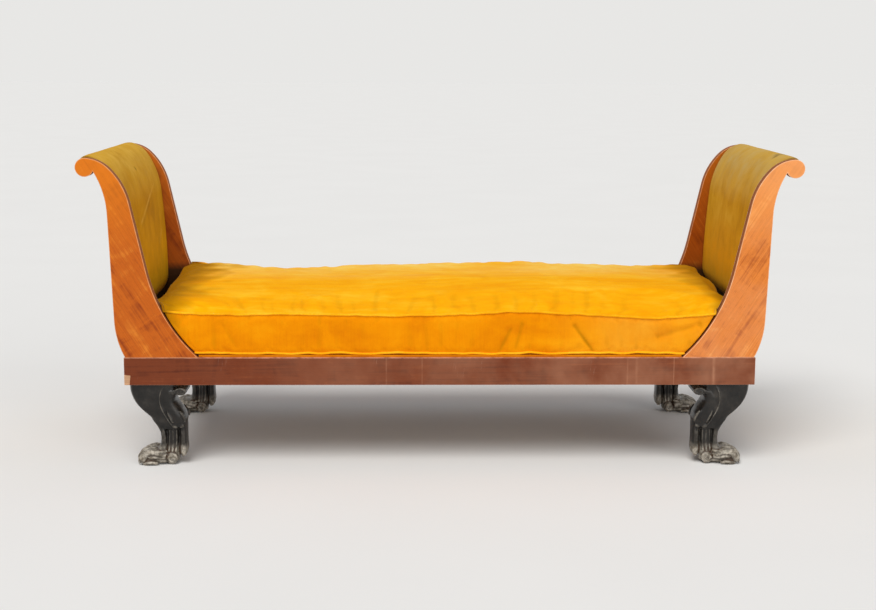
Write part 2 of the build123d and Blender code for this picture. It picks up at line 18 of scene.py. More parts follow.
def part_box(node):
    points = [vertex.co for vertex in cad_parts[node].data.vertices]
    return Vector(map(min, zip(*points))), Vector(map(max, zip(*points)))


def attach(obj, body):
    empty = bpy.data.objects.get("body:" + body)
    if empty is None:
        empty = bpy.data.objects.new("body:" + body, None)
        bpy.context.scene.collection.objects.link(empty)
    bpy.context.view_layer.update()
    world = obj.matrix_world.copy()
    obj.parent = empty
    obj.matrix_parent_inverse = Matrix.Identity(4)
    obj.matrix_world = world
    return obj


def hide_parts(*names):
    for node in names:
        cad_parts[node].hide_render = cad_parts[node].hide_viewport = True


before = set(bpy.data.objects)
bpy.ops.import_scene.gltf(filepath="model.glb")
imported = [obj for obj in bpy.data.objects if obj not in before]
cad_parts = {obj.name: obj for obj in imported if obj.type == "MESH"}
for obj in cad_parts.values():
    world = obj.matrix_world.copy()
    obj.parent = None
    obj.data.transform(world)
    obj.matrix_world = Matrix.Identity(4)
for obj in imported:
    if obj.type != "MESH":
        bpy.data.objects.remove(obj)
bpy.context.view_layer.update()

# %% [markdown]
# The places of the pieces are read from the frame, not typed in again. The front rail gives the top of the
# base, the front right panel gives the plane of the ends, and the mattress gives the level of the seat.

# %% Sizes that the frame gives
mm = 0.001
rail_low, rail_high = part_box("front_rail")
panel_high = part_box("front_right_scroll_panel")[1]
seat_low, seat_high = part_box("mattress_cover")
half_length = rail_high.x
half_depth = -rail_low.y
rail_top = rail_high.z
leg_height = rail_low.z
panel_inside = -panel_high.y
ends = ("left", "right")
faces = ("front", "rear")
print("rail top", round(rail_top, 4), "panel inside", round(panel_inside, 4))

# %% [markdown]
# ## Camera
#
# The view is nearly level with the seat, from straight in front and far back, so that both ends show their
# inner faces. The camera's axes are set from its heading, pitch and roll, and its lens from the object's
# size in the picture.

# %% Camera
picture_width = 876
focal_pixels = 1504.2
camera_place = Vector((-0.0989, -4.3996, 1.121))
camera_pitch = 0.1639
camera_yaw = -0.02224
camera_roll = 0.00394
sensor_width = 36


def make_camera():
    ahead = Vector((
        -sin(camera_yaw) * cos(camera_pitch),
        cos(camera_yaw) * cos(camera_pitch),
        -sin(camera_pitch),
    ))
    level = Vector((cos(camera_yaw), sin(camera_yaw), 0))
    above = level.cross(ahead)
    right = cos(camera_roll) * level + sin(camera_roll) * above
    up = right.cross(ahead)
    data = bpy.data.cameras.new("camera")
    data.sensor_width = sensor_width
    data.lens = focal_pixels / picture_width * sensor_width
    camera = bpy.data.objects.new("camera", data)
    camera.matrix_world = Matrix.Translation(camera_place) @ Matrix((right, up, -ahead)).transposed().to_4x4()
    bpy.context.scene.collection.objects.link(camera)
    bpy.context.scene.camera = camera
    return camera


camera = make_camera()
print("lens", round(camera.data.lens, 1), "mm")

# %% [markdown]
# ## Helpers for modelling
#
# Each new piece is shaped in a bmesh and then handed over as an object at the origin, which rides on one of
# the two bodies: the frame, or the mattress that lifts off it. Where a piece stands for a CAD node, the node
# is hidden. A form with a changing section, such as a leg or a length of piping, is a row of rings that are
# bridged into a tube.

# %% Helpers for modelling
edge_segments = 3
sharp_angle = 0.6
tolerance = 0.01 * mm


def clamped(value, low=0.0, high=1.0):
    return max(low, min(high, value))


def to_object(bm, name, material, smooth=True):
    """Makes an object of a bmesh."""
    data = bpy.data.meshes.new(name)
    for face in bm.faces:
        face.smooth = smooth
    bm.to_mesh(data)
    bm.free()
    data.materials.append(material)
    piece = bpy.data.objects.new(name, data)
    bpy.context.scene.collection.objects.link(piece)
    return piece


def hand_over(piece, body="frame", nodes=()):
    """Gives a piece its body and hides the CAD nodes that it stands for."""
    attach(piece, body)
    if nodes:
        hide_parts(*nodes)
    return piece


def pour(part, into):
    """Adds one bmesh to another and frees it."""
    data = bpy.data.meshes.new("part")
    part.to_mesh(data)
    part.free()
    into.from_mesh(data)
    bpy.data.meshes.remove(data)


def node_copy(name):
    """A merged copy of a CAD node's mesh, as a bmesh."""
    bm = bmesh.new()
    bm.from_mesh(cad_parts[name].data)
    bmesh.ops.remove_doubles(bm, verts=bm.verts, dist=tolerance)
    return bm


def round_edges(bm, edges, width):
    bmesh.ops.bevel(bm, geom=edges, offset=width, offset_type="OFFSET", segments=edge_segments, profile=0.5,
                    affect="EDGES", clamp_overlap=True, material=-1)


def sharp_edges(bm):
    return [e for e in bm.edges if len(e.link_faces) == 2 and e.calc_face_angle(0) > sharp_angle]


def box_mesh(low, high):
    """A box between two corners, from a unit cube."""
    bm = bmesh.new()
    size = Vector(high) - Vector(low)
    place = Matrix.Translation((Vector(low) + Vector(high)) / 2) @ Matrix.Diagonal((*size, 1))
    bmesh.ops.create_cube(bm, size=1, matrix=place)
    return bm


def cut_across(bm, axis, places):
    """Cuts a mesh square to an axis at the given places, so that it can bend or take a gradient there."""
    normal = Vector([1 if i == axis else 0 for i in range(3)])
    for place in places:
        everything = list(bm.verts) + list(bm.edges) + list(bm.faces)
        bmesh.ops.bisect_plane(bm, geom=everything, plane_co=normal * place, plane_no=normal)


def float_layer(bm, name):
    return bm.verts.layers.float.get(name) or bm.verts.layers.float.new(name)


def ring(bm, centre, along, side, half_width, half_height, points, squareness=2.0):
    """A closed ring square to a direction. Squareness 2 is an ellipse, and more is nearer to a rectangle."""
    along = along.normalized()
    side = (side - side.dot(along) * along).normalized()
    up = along.cross(side)
    made = bmesh.ops.create_circle(bm, cap_ends=False, radius=1, segments=points)["verts"]
    for vert in made:
        x, y = vert.co.x, vert.co.y
        stretch = (abs(x) ** squareness + abs(y) ** squareness) ** (-1 / squareness)
        vert.co = centre + side * x * stretch * half_width + up * y * stretch * half_height
    return made


def ring_edges(ring_verts):
    wanted = set(ring_verts)
    return [e for e in {e for v in ring_verts for e in v.link_edges} if all(v in wanted for v in e.verts)]


def bridge(bm, rings, closed=False):
    """Joins rings in a row into a tube, with its ends closed or its last ring joined to its first."""
    following = rings[1:] + rings[:1] if closed else rings[1:]
    bands = [ring_edges(a) + ring_edges(b) for a, b in zip(rings, following)]
    for band in bands:
        bmesh.ops.bridge_loops(bm, edges=band)
    if not closed:
        for last in (rings[0], rings[-1]):
            bmesh.ops.contextual_create(bm, geom=ring_edges(last))


def tube(bm, path, radii, points, side=Vector((0, 1, 0)), closed=False):
    """A round tube along a path of points, with a radius at each."""
    rings = []
    count = len(path)
    for i, (place, radius) in enumerate(zip(path, radii)):
        before = path[i - 1] if closed or i else path[0]
        after = path[(i + 1) % count] if closed else path[min(i + 1, count - 1)]
        rings.append(ring(bm, place, after - before, side, radius, radius, points))
    bridge(bm, rings, closed)


def smooth_path(points, pieces):
    """A path that passes smoothly through the points, in some pieces between each two."""
    path = []
    for i in range(len(points) - 1):
        p0, p1, p2, p3 = (points[clamped(j, 0, len(points) - 1)] for j in range(i - 1, i + 3))
        for piece in range(pieces):
            t = piece / pieces
            path.append(0.5 * (2 * p1 + (p2 - p0) * t + (2 * p0 - 5 * p1 + 4 * p2 - p3) * t * t
                               + (3 * p1 - p0 - 3 * p2 + p3) * t**3))
    return path + [points[-1]]


def between(values, share):
    """The value at a share of the way along a list of numbers, smoothly."""
    place = clamped(share) * (len(values) - 1)
    i = min(int(place), len(values) - 2)
    t = place - i
    t = t * t * (3 - 2 * t)
    return values[i] * (1 - t) + values[i + 1] * t


def mirrored(bm, across_x, across_y):
    """Turns a mesh into its image on the other side of the daybed, with its faces pointing outwards."""
    scale = Matrix.Diagonal((-1 if across_x else 1, -1 if across_y else 1, 1, 1))
    bmesh.ops.transform(bm, matrix=scale, verts=bm.verts)
    if across_x != across_y:
        bmesh.ops.reverse_faces(bm, faces=bm.faces)


def from_modifiers(piece):
    """Applies a piece's modifiers to its mesh."""
    graph = bpy.context.evaluated_depsgraph_get()
    made = bpy.data.meshes.new_from_object(piece.evaluated_get(graph), depsgraph=graph)
    old = piece.data
    piece.modifiers.clear()
    piece.data = made
    bpy.data.meshes.remove(old)
    return piece


print("helpers ready")

# %% [markdown]
# ## Helpers for finishes
#
# A finish is a small tree of shader nodes. Wood, cloth and paint all need the same few steps: coordinates
# on the object itself, so that the pattern stays put when a piece moves, noise stretched along a grain, a
# blend of colours, and a bump. A Mapping node set to Texture turns first and stretches afterwards, so a
# stretch of (0.3, 0.01, 0.01) gives streaks 30 cm long and 1 cm wide along its own X axis.

# %% Helpers for finishes
def add(tree, kind, inputs=(), **settings):
    """Adds a shader node. Inputs are pairs of a socket's name or number and a value or another socket."""
    node = tree.nodes.new(kind)
    for key, value in settings.items():
        setattr(node, key, value)
    for key, value in dict(inputs).items():
        if isinstance(value, bpy.types.NodeSocket):
            tree.links.new(value, node.inputs[key])
        else:
            node.inputs[key].default_value = value
    return node


def finish(name, **settings):
    """A new material: its tree, its shader with plain settings, and its object coordinates."""
    material = bpy.data.materials.new(name)
    material.use_nodes = True
    tree = material.node_tree
    shader = tree.nodes["Principled BSDF"]
    for key, value in settings.items():
        shader.inputs[key.replace("_", " ")].default_value = value
    place = add(tree, "ShaderNodeTexCoord").outputs["Object"]
    return material, tree, shader, place


def speckle(tree, place, scale, detail, roughness=0.5, distortion=0.0):
    inputs = {"Vector": place, "Scale": scale, "Detail": detail, "Roughness": roughness,
              "Distortion": distortion}
    return add(tree, "ShaderNodeTexNoise", inputs).outputs[0]


def streaked(tree, place, stretch, detail, roughness=0.5, distortion=0.0, turn=(0, 0, 0)):
    """Noise stretched by so many metres along each axis, after a turn."""
    inputs = {"Vector": place, "Scale": stretch, "Rotation": turn}
    stretched = add(tree, "ShaderNodeMapping", inputs, vector_type="TEXTURE").outputs[0]
    return speckle(tree, stretched, 1.0, detail, roughness, distortion)


def steps(tree, value, *stops):
    """A ramp of colours at places from 0 to 1."""
    node = add(tree, "ShaderNodeValToRGB", {0: value})
    elements = node.color_ramp.elements
    while len(elements) < len(stops):
        elements.new(0.5)
    for element, (at, colour) in zip(elements, stops):
        element.position = at
        element.color = (*colour, 1)
    return node.outputs[0]


def scaled(colour, share):
    return tuple(min(1, share * c) for c in colour)


def blend(tree, share, a, b, mode="MIX"):
    """Two colours blended by a share."""
    a, b = ((*colour, 1) if isinstance(colour, tuple) else colour for colour in (a, b))
    return add(tree, "ShaderNodeMix", {0: share, 6: a, 7: b}, data_type="RGBA", blend_type=mode).outputs[2]


def sums(tree, kind, a, b=0.0):
    return add(tree, "ShaderNodeMath", {0: a, 1: b}, operation=kind).outputs[0]


def times(tree, a, b):
    return sums(tree, "MULTIPLY", a, b)


def larger(tree, a, b):
    return sums(tree, "MAXIMUM", a, b)


def coordinate(tree, place, axis):
    return add(tree, "ShaderNodeSeparateXYZ", {0: place}).outputs[axis]


def mixture(tree, *parts):
    """Values added up, each with its weight."""
    total = 0.0
    for value, weight in parts:
        inputs = {0: value, 1: weight, 2: total}
        total = add(tree, "ShaderNodeMath", inputs, operation="MULTIPLY_ADD").outputs[0]
    return total


def span(tree, value, low, high, to_low=0.0, to_high=1.0):
    """A value's range turned into another range, and kept within it."""
    inputs = {0: value, 1: low, 2: high, 3: to_low, 4: to_high}
    return add(tree, "ShaderNodeMapRange", inputs).outputs[0]


def painted(tree, name):
    """A number that the mesh holds at its points."""
    return add(tree, "ShaderNodeAttribute", attribute_name=name).outputs["Fac"]


def raise_up(tree, shader, *layers):
    """Bumps one on top of another: pairs of a height and how many millimetres a full step stands up."""
    under = None
    for height, rise in layers:
        inputs = {"Height": height, "Strength": 1.0, "Distance": rise * mm}
        if under:
            inputs["Normal"] = under
        under = add(tree, "ShaderNodeBump", inputs).outputs[0]
    tree.links.new(under, shader.inputs["Normal"])


def give_colour(tree, shader, colour, roughness=None):
    """Links a finish's colour, and its roughness where that varies."""
    tree.links.new(colour, shader.inputs["Base Color"])
    if roughness:
        tree.links.new(roughness, shader.inputs["Roughness"])


print("finish helpers ready")

# %% [markdown]
# ## Polished mahogany
#
# The ends are faced with mahogany veneer whose figure runs in slanting streaks, mirrored from one end to the
# other, and the rails are a darker, straight-grained mahogany. A photograph of wood could be wrapped on, but
# noise stretched along the grain in five sizes (bands along and across, streaks, fibres and pores) follows the
# real cause of the pattern, and works on any face of a board. A gloss that changes in soft patches gives the
# polish.

# %% Mahogany
panel_grain_lean = radians(58)
side_colour = (0.34, 0.105, 0.026)
# Painted shade on the panels' inner faces below the seat, and the heights in metres over which it comes in
inner_painted_shade = (0.055, 0.022, 0.008)
inner_shade_below = (0.478, 0.452)
# Heights in metres over which a painted highlight rises on the panels' upper parts and scrolls
highlight_between = (0.60, 0.80)
# The wood's noises: stretch in metres, detail, and where it differs roughness and distortion
wood_noises = [
    ((0.30, 0.2, 0.045), 2.0, 0.5, 0.8),
    ((0.05, 0.2, 0.11), 2.0, 0.55, 1.2),
    ((0.42, 0.03, 0.009), 4.0, 0.6, 0.4),
    ((0.12, 0.004, 0.0022), 3.0, 0.6),
    ((0.011, 0.001, 0.0005), 1.0),
]


def mahogany(name, dark, middle, light, lean, gloss, dust_and_reflection=(0.0, 0.0), dust_and_reflection_colour=(0.4, 0.2, 0.1),
             edge_colour=None, painted_highlight=None):
    """Mahogany with its grain leaning up from level, and dust with a painted reflection growing from left to
    right.

    A panel's also has a pale edge of rubbed wear and painted highlight, plain sides, painted shade on its
    inner face below the seat and a painted highlight higher up.
    """
    material, tree, shader, place = finish(name, Roughness=gloss, Specular_IOR_Level=0.2)
    bands, cross, streaks, fibres, pores = (
        streaked(tree, place, *settings, turn=(0, -lean, 0)) for settings in wood_noises)
    figure = mixture(tree, (streaks, 0.36), (bands, 0.40), (cross, 0.28))
    wood = steps(tree, figure, (0.41, dark), (0.51, middle), (0.57, middle), (0.67, light))
    wood = blend(tree, span(tree, fibres, 0.42, 0.66, 0.0, 0.32), wood, dark)
    wood = blend(tree, span(tree, pores, 0.62, 0.72, 0.0, 0.45), wood, scaled(dark, 0.35))
    patches = span(tree, speckle(tree, place, 5.0, 4.0, 0.6), 0.35, 0.7)
    # A veil that grows from left to right: dust and a painted reflection of the light at the right
    veil = span(tree, coordinate(tree, place, 0), -half_length, half_length, *dust_and_reflection)
    wood = blend(tree, times(tree, veil, patches), wood, dust_and_reflection_colour)
    if edge_colour:
        height = coordinate(tree, place, 2)
        # Painted highlight: the upper part and the scroll blend towards a paler colour
        wood = blend(tree, span(tree, height, *highlight_between, 0.0, 0.5), wood, painted_highlight)
        wood = blend(tree, painted(tree, "side"), wood, side_colour)
        # Painted shade on the inner faces below the seat, where the mattress hides them
        inner_shaded = times(tree, painted(tree, "inner"), span(tree, height, *inner_shade_below, 0.35, 1.0))
        wood = blend(tree, inner_shaded, wood, inner_painted_shade)
        uneven = span(tree, speckle(tree, place, 60, 3), 0.3, 0.6, 0.35, 1)
        # Pale edge: rubbed wear and a painted highlight on the rounded corner
        wood = blend(tree, times(tree, painted(tree, "edge"), uneven), wood, edge_colour)
    sheen_patches = span(tree, patches, 0, 1, gloss - 0.06, gloss + 0.12)
    give_colour(tree, shader, wood, larger(tree, sheen_patches, times(tree, painted(tree, "side"), 0.75)))
    raise_up(tree, shader, (fibres, -0.05), (pores, -0.04), (speckle(tree, place, 9.0, 1.0), 0.25))
    return material


# The right panels' wood is paler than the left's, partly a painted reflection of the light at the right
panel_wood = {
    "left": mahogany("left_panel_mahogany", (0.28, 0.045, 0.003), (0.54, 0.116, 0.006), (0.70, 0.205, 0.019),
                     -panel_grain_lean, 0.34, edge_colour=(0.78, 0.34, 0.13), painted_highlight=(0.84, 0.235, 0.006)),
    "right": mahogany("right_panel_mahogany", (0.44, 0.100, 0.013), (0.74, 0.220, 0.034), (0.90, 0.37, 0.095),
                      panel_grain_lean, 0.38, (0.0, 0.25), (0.80, 0.42, 0.24),
                      edge_colour=(0.90, 0.50, 0.28), painted_highlight=(0.95, 0.40, 0.13)),
}
print("panel finishes:", [m.name for m in panel_wood.values()])

# %% [markdown]
# ## The end panels
#
# Each end has a front and a rear panel, a board sawn to a long S that curls over in a scroll. The outline is
# already in the frame, so the panel's clean outer face is kept, joined into one outline and given its
# thickness again. Then its edges are rounded as with a file, because a sharp edge catches no light. A narrow
# ring inside the outline ends the pale colour of the edge, which is rubbed wear and a painted highlight.
# Below the seat, where the mattress hides them, the inner faces get painted shade.

# %% End panels
panel_edge_round = 1.0 * mm
# The pale edge, rubbed wear and a painted highlight, ends this far inside the outline
pale_edge_width = 1.2 * mm
edge_band = 3 * mm
fewest_outline_corners = 21
facing_squarely = 0.999


def end_panel(face, end):
    """A panel made anew from its node's outer face. Its layers say where its edge, side and inner face are."""
    name = f"{face}_{end}_scroll_panel"
    low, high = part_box(name)
    thickness = high.y - low.y
    outer, inward = (low.y, 1) if face == "front" else (high.y, -1)
    bm = node_copy(name)
    rest = [f for f in bm.faces if any(abs(v.co.y - outer) > tolerance for v in f.verts)]
    bmesh.ops.delete(bm, geom=rest, context="FACES")
    bmesh.ops.dissolve_faces(bm, faces=bm.faces[:])
    thick = bmesh.ops.extrude_face_region(bm, geom=bm.faces[:])["geom"]
    moved = [v for v in thick if isinstance(v, bmesh.types.BMVert)]
    bmesh.ops.translate(bm, verts=moved, vec=(0, inward * thickness, 0))
    bmesh.ops.recalc_face_normals(bm, faces=bm.faces)
    outline = [e for e in sharp_edges(bm) if abs(e.verts[0].co.y - e.verts[1].co.y) < tolerance]
    round_edges(bm, outline, panel_edge_round)
    cut_across(bm, 1, [low.y + edge_band, high.y - edge_band])
    wear_and_highlight, side, inner = (float_layer(bm, layer) for layer in ("edge", "side", "inner"))
    for vert in bm.verts:
        inside = min(vert.co.y - low.y, high.y - vert.co.y)
        # The edge layer marks rubbed wear and a painted highlight; the side layer marks the plain sides
        vert[wear_and_highlight] = 1.0 if inside < edge_band - 10 * tolerance else 0.0
        vert[side] = 1.0 - vert[wear_and_highlight]
        vert[inner] = 1.0 if abs(vert.co.y - outer) > thickness - edge_band else 0.0
    broad = [f for f in bm.faces if len(f.verts) >= fewest_outline_corners]
    bmesh.ops.inset_individual(bm, faces=broad, thickness=pale_edge_width, use_even_offset=True)
    for vert in (v for f in broad for v in f.verts):
        vert[wear_and_highlight] = 0.0
    for edge in sharp_edges(bm):
        edge.smooth = False
    # The rear panels take the darker left wood as painted shade
    panel = to_object(bm, f"{face}_{end}_end_panel", panel_wood[end if face == "front" else "left"])
    for polygon in panel.data.polygons:
        polygon.use_smooth = abs(polygon.normal.y) < facing_squarely
    return hand_over(panel, nodes=[name])


panels = [end_panel(face, end) for face in faces for end in ends]
print("panels:", [len(p.data.polygons) for p in panels], "faces each")

# %% [markdown]
# ## The rails
#
# The four rails are plain boards, so a box with filed edges is all their shape. Their story is in the finish:
# level grain, a pale line along each edge that is rubbed wear and a painted highlight, a haze that is dust and
# a painted reflection, and at the front rail's left end a corner where the veneer has broken off and shows the
# pale wood under it. A boolean cut takes that corner out, as the break did.

# %% Rail finish
rail_edge_width = 1.8 * mm
rail_pale_edge_inset = 0.3 * mm
# Pale upright marks on the rails: place along them and half width in millimetres, and strength
rail_marks = [(513, 3, 0.24), (538, 5, 0.2), (641, 2, 0.42), (751, 6, 0.42), (-150, 3, 0.2), (-52, 2, 0.25)]


def rail_mahogany():
    """Dark mahogany, pale along its edges with rubbed wear and a painted highlight, with scratches and upright
    marks.
    """
    # The haze grows to the right: dust and a painted reflection of the light at the right
    material = mahogany("rail_mahogany", (0.105, 0.020, 0.006), (0.172, 0.036, 0.010), (0.25, 0.062, 0.018),
                        radians(0.5), 0.34, (0.0, 0.80), (0.40, 0.18, 0.10))
    tree = material.node_tree
    shader = tree.nodes["Principled BSDF"]
    place = tree.nodes["Texture Coordinate"].outputs["Object"]
    wood = shader.inputs["Base Color"].links[0].from_socket
    across, height = (coordinate(tree, place, axis) for axis in (0, 2))
    above = span(tree, height, rail_top - rail_edge_width, rail_top - rail_pale_edge_inset)
    below = span(tree, height, leg_height + rail_edge_width, leg_height)
    corner = []
    for axis, reach in enumerate((half_length, half_depth)):
        away = sums(tree, "ABSOLUTE", coordinate(tree, place, axis))
        corner.append(span(tree, away, reach - rail_edge_width, reach - rail_pale_edge_inset))
    arris = larger(tree, larger(tree, above, times(tree, *corner)), times(tree, below, 0.6))
    broken = span(tree, speckle(tree, place, 45, 4, 0.7), 0.34, 0.58, 0.25, 1.0)
    # Pale edges: rubbed wear and a painted highlight along the arrises
    wood = blend(tree, times(tree, arris, broken), wood, (0.60, 0.29, 0.18))
    scratches = streaked(tree, place, (0.0012, 1, 0.05), 2.0, 0.6, turn=(0, 0.1, 0))
    here_and_there = span(tree, speckle(tree, place, 7, 2), 0.52, 0.6, 0, 0.55)
    scratched = times(tree, span(tree, scratches, 0.70, 0.76), here_and_there)
    wood = blend(tree, scratched, wood, (0.55, 0.33, 0.24))
    patchy = span(tree, speckle(tree, place, 35, 4, 0.7), 0.38, 0.62, 0.45, 1.0)
    for mark, half_width, strength in rail_marks:
        from_mark = sums(tree, "ABSOLUTE", sums(tree, "SUBTRACT", across, mark * mm))
        line = span(tree, from_mark, half_width * mm, 0.0, 0.0, strength)
        wood = blend(tree, times(tree, line, patchy), wood, (0.58, 0.28, 0.16))
    give_colour(tree, shader, wood)
    return material


rail_wood = rail_mahogany()
print("rail finish:", rail_wood.name)

# %% The pale ground wood
def bare_wood(name, colour):
    """Unpolished, straight-grained light wood, with its grain along X."""
    material, tree, shader, place = finish(name, Roughness=0.72)
    rings = streaked(tree, place, (0.4, 0.02, 0.012), 3.0, 0.6, 0.5)
    flecks = streaked(tree, place, (0.006, 0.0012, 0.0009), 1.0)
    wood = steps(tree, rings, (0.3, scaled(colour, 0.72)), (0.7, scaled(colour, 1.15)))
    wood = blend(tree, span(tree, flecks, 0.6, 0.7, 0, 0.4), wood, scaled(colour, 0.55))
    give_colour(tree, shader, wood)
    raise_up(tree, shader, (rings, 0.1), (flecks, -0.1))
    return material


ground_wood = bare_wood("pale_ground_wood", (0.54, 0.30, 0.16))
beech = bare_wood("raw_beech", (0.50, 0.33, 0.19))
print("bare woods:", ground_wood.name, beech.name)

# %% Rails
rail_edge_round = 1.2 * mm
rail_thickness = rail_high.y - rail_low.y
largest_rounding = 0.0048
chip_width = 14 * mm
chip_height = 29 * mm
chip_depth = 1.4 * mm
chip_lean = radians(7)


def rail(name, piece_name):
    """A board with filed edges. A short rail ends at the long rails, inside its node's tenons."""
    low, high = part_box(name)
    front, rear = low.y, high.y
    if "end" in name:
        rear = min(high.y, half_depth - rail_thickness)
        front = -rear
    bm = box_mesh((low.x, front, low.z), (high.x, rear, high.z))
    round_edges(bm, bm.edges[:], rail_edge_round)
    made = to_object(bm, piece_name, rail_wood)
    for polygon in made.data.polygons:
        polygon.use_smooth = polygon.area < largest_rounding
    return hand_over(made, nodes=[name])


def break_corner(piece):
    """Cuts the broken corner of veneer out of the front rail's left end."""
    bm = box_mesh((-chip_width, -chip_depth, -chip_height), (chip_width, chip_depth, chip_height))
    bmesh.ops.rotate(bm, verts=bm.verts, cent=(0, 0, 0), matrix=Matrix.Rotation(chip_lean, 3, "Y"))
    bmesh.ops.translate(bm, verts=bm.verts, vec=(-half_length, -half_depth, leg_height))
    cutter = to_object(bm, "chip_cutter", ground_wood, smooth=False)
    cut = piece.modifiers.new("chip", "BOOLEAN")
    cut.object = cutter
    cut.solver = "EXACT"
    cut.material_mode = "TRANSFER"
    from_modifiers(piece)
    bpy.data.objects.remove(cutter)


rails = [rail(f"{face}_rail", f"{face}_long_rail") for face in faces]
rails += [rail(f"{end}_end_rail", f"{end}_short_rail") for end in ends]
break_corner(rails[0])
print("rails:", len(rails), "and the chipped corner has", len(rails[0].data.materials), "woods")

# %% [markdown]
# ## Golden velvet
#
# The mattress is covered in a golden-yellow cotton velvet, and the ends in the same kind of velvet, older and
# faded to olive. Velvet is matt where it is looked at squarely and pale where it is seen edge-on, because its
# pile stands up: that is what a shader's sheen is for. Its colour drifts where the pile has been brushed the
# other way, fine lines follow the warp, and painted shade darkens it in its folds and creases.

# %% Velvet
def velvet(name, deep, middle, lit, sheen, tint, warp, thread, layers):
    """Cotton velvet: deep to lit in its pile, the size of its warp lines, and painted layers with colours."""
    material, tree, shader, place = finish(
        name, Roughness=0.85, Sheen_Weight=sheen, Sheen_Roughness=0.38, Sheen_Tint=(*tint, 1),
        Specular_IOR_Level=0.03)
    pile = speckle(tree, place, 8.0, 4.0, 0.62, 0.7)
    drift = streaked(tree, place, (0.22, 0.06, 0.09), 3.0, 0.55, 0.4)
    lines = streaked(tree, place, warp, 3.0, 0.65)
    nap = speckle(tree, place, 900.0, 2.0, 0.7)
    tone = mixture(tree, (pile, 0.34), (drift, 0.40), (lines, thread), (nap, 0.08))
    half = (0.82 + thread) / 2
    colour = steps(tree, tone, (half - 0.14, deep), (half, middle), (half + 0.13, lit))
    patches = span(tree, speckle(tree, place, 15.0, 5.0, 0.7), 0.38, 0.66, 0.45, 1.0)
    for layer, layer_colour in layers:
        amount = painted(tree, layer)
        if layer != "shade":
            amount = times(tree, amount, patches)
        colour = blend(tree, amount, colour, layer_colour)
    give_colour(tree, shader, colour)
    raise_up(tree, shader, (lines, 0.35), (speckle(tree, place, 130.0, 3.0, 0.6), 0.5), (nap, 0.25))
    return material


seat_velvet = velvet("golden_velvet", (0.90, 0.335, 0.001), (0.96, 0.425, 0.002), (0.99, 0.54, 0.022), 0.06,
                     (1.0, 0.78, 0.25), (0.10, 0.0045, 0.0045), 0.22,
                     [("paler_with_sheen", (0.98, 0.66, 0.14)), ("shade", (0.41, 0.178, 0.001))])
# The boxing takes a darker copy of the golden velvet: partly painted shade, as the top catches the light from
# above
boxing_velvet = velvet("golden_boxing_velvet", (0.68, 0.185, 0.001), (0.82, 0.265, 0.001), (0.90, 0.35, 0.003),
                       0.03, (1.0, 0.7, 0.25), (0.0045, 0.0045, 0.09), 0.10,
                       [("paler_with_sheen", (0.88, 0.38, 0.022)), ("shade", (0.35, 0.150, 0.001))])
piping_velvet = velvet("golden_piping_velvet", (0.84, 0.31, 0.002), (0.96, 0.43, 0.006), (0.98, 0.54, 0.025),
                       0.2, (1.0, 0.85, 0.45), (0.006, 0.006, 0.006), 0.2, [("shade", (0.30, 0.12, 0.001))])
print("velvets ready")

# %% [markdown]
# ## The mattress: its form
#
# The mattress is a stuffed box of velvet: a top and a bottom panel, joined by a strip called the boxing, with
# piping along both seams. It could start from a remeshed block, but then the seams would be lost among random
# triangles. So a cube is cut into an even grid first, and each point is carried to its place on the mattress.
# Its ends follow the frame's solid, found by rays. Its top follows five lines of heights, and starts a little
# low, because the pressure of the stuffing will raise it.

# %% Mattress form
seat_base = seat_low.z
seam_y = 346 * mm
side_bulge = 3 * mm
end_gap = 4 * mm
start_low = 3 * mm
seam_lift = 4 * mm
seat_cuts = (196, 62, 15)
end_roll = {"left": 5 * mm, "right": 9 * mm}
left_reach = 1.7
probe_level = 0.40
probe_y = 345 * mm
probe_depth = 15 * mm
panel_edge_level = 0.478
top_level = 0.480

# Heights of the mattress's top along five lines from its left end to its right: x and height in millimetres
front_seam = [(-754, 432), (-620, 426), (-328, 425), (-114, 421), (113, 428), (204, 433), (322, 428),
              (425, 423), (572, 415), (680, 420), (753, 426)]
front_line = [(-790, 456), (-720, 452), (-600, 448), (-300, 446), (0, 449), (250, 457), (450, 453), (640, 450),
              (820, 455)]
middle_line = [(-790, 461), (-600, 465), (-350, 463), (0, 470), (250, 477), (500, 470), (700, 466), (820, 469)]
rear_line = [(-790, 469), (-600, 467), (-400, 460), (0, 470), (250, 479), (450, 471), (700, 467), (820, 471)]
rear_seam = [(-780, 472), (-651, 464), (-596, 457), (-498, 452), (-405, 450), (-248, 460), (-27, 464),
             (148, 470), (269, 474), (360, 467), (498, 461), (682, 459), (822, 461)]
line_y = 235
shoulder_width = 30

seat_solid = BVHTree.FromBMesh(node_copy("mattress_cover"))
panel_solid = BVHTree.FromBMesh(node_copy("front_right_scroll_panel"))


def curve_through(points, x):
    """The height at x of a smooth curve through points, all in millimetres."""
    x = clamped(x, points[0][0], points[-1][0])
    i = min(len(points) - 2, sum(1 for p in points if p[0] <= x) - 1)
    (x0, z0), (x1, z1) = points[i], points[i + 1]
    before, after = points[max(0, i - 1)], points[min(len(points) - 1, i + 2)]
    width = x1 - x0
    leave = (z1 - before[1]) / (x1 - before[0]) * width
    arrive = (after[1] - z0) / (after[0] - x0) * width
    t = (x - x0) / width
    height = ((2 * t - 3) * t * t + 1) * z0 + ((t - 2) * t + 1) * t * leave
    return height + (3 - 2 * t) * t * t * z1 + (t - 1) * t * t * arrive


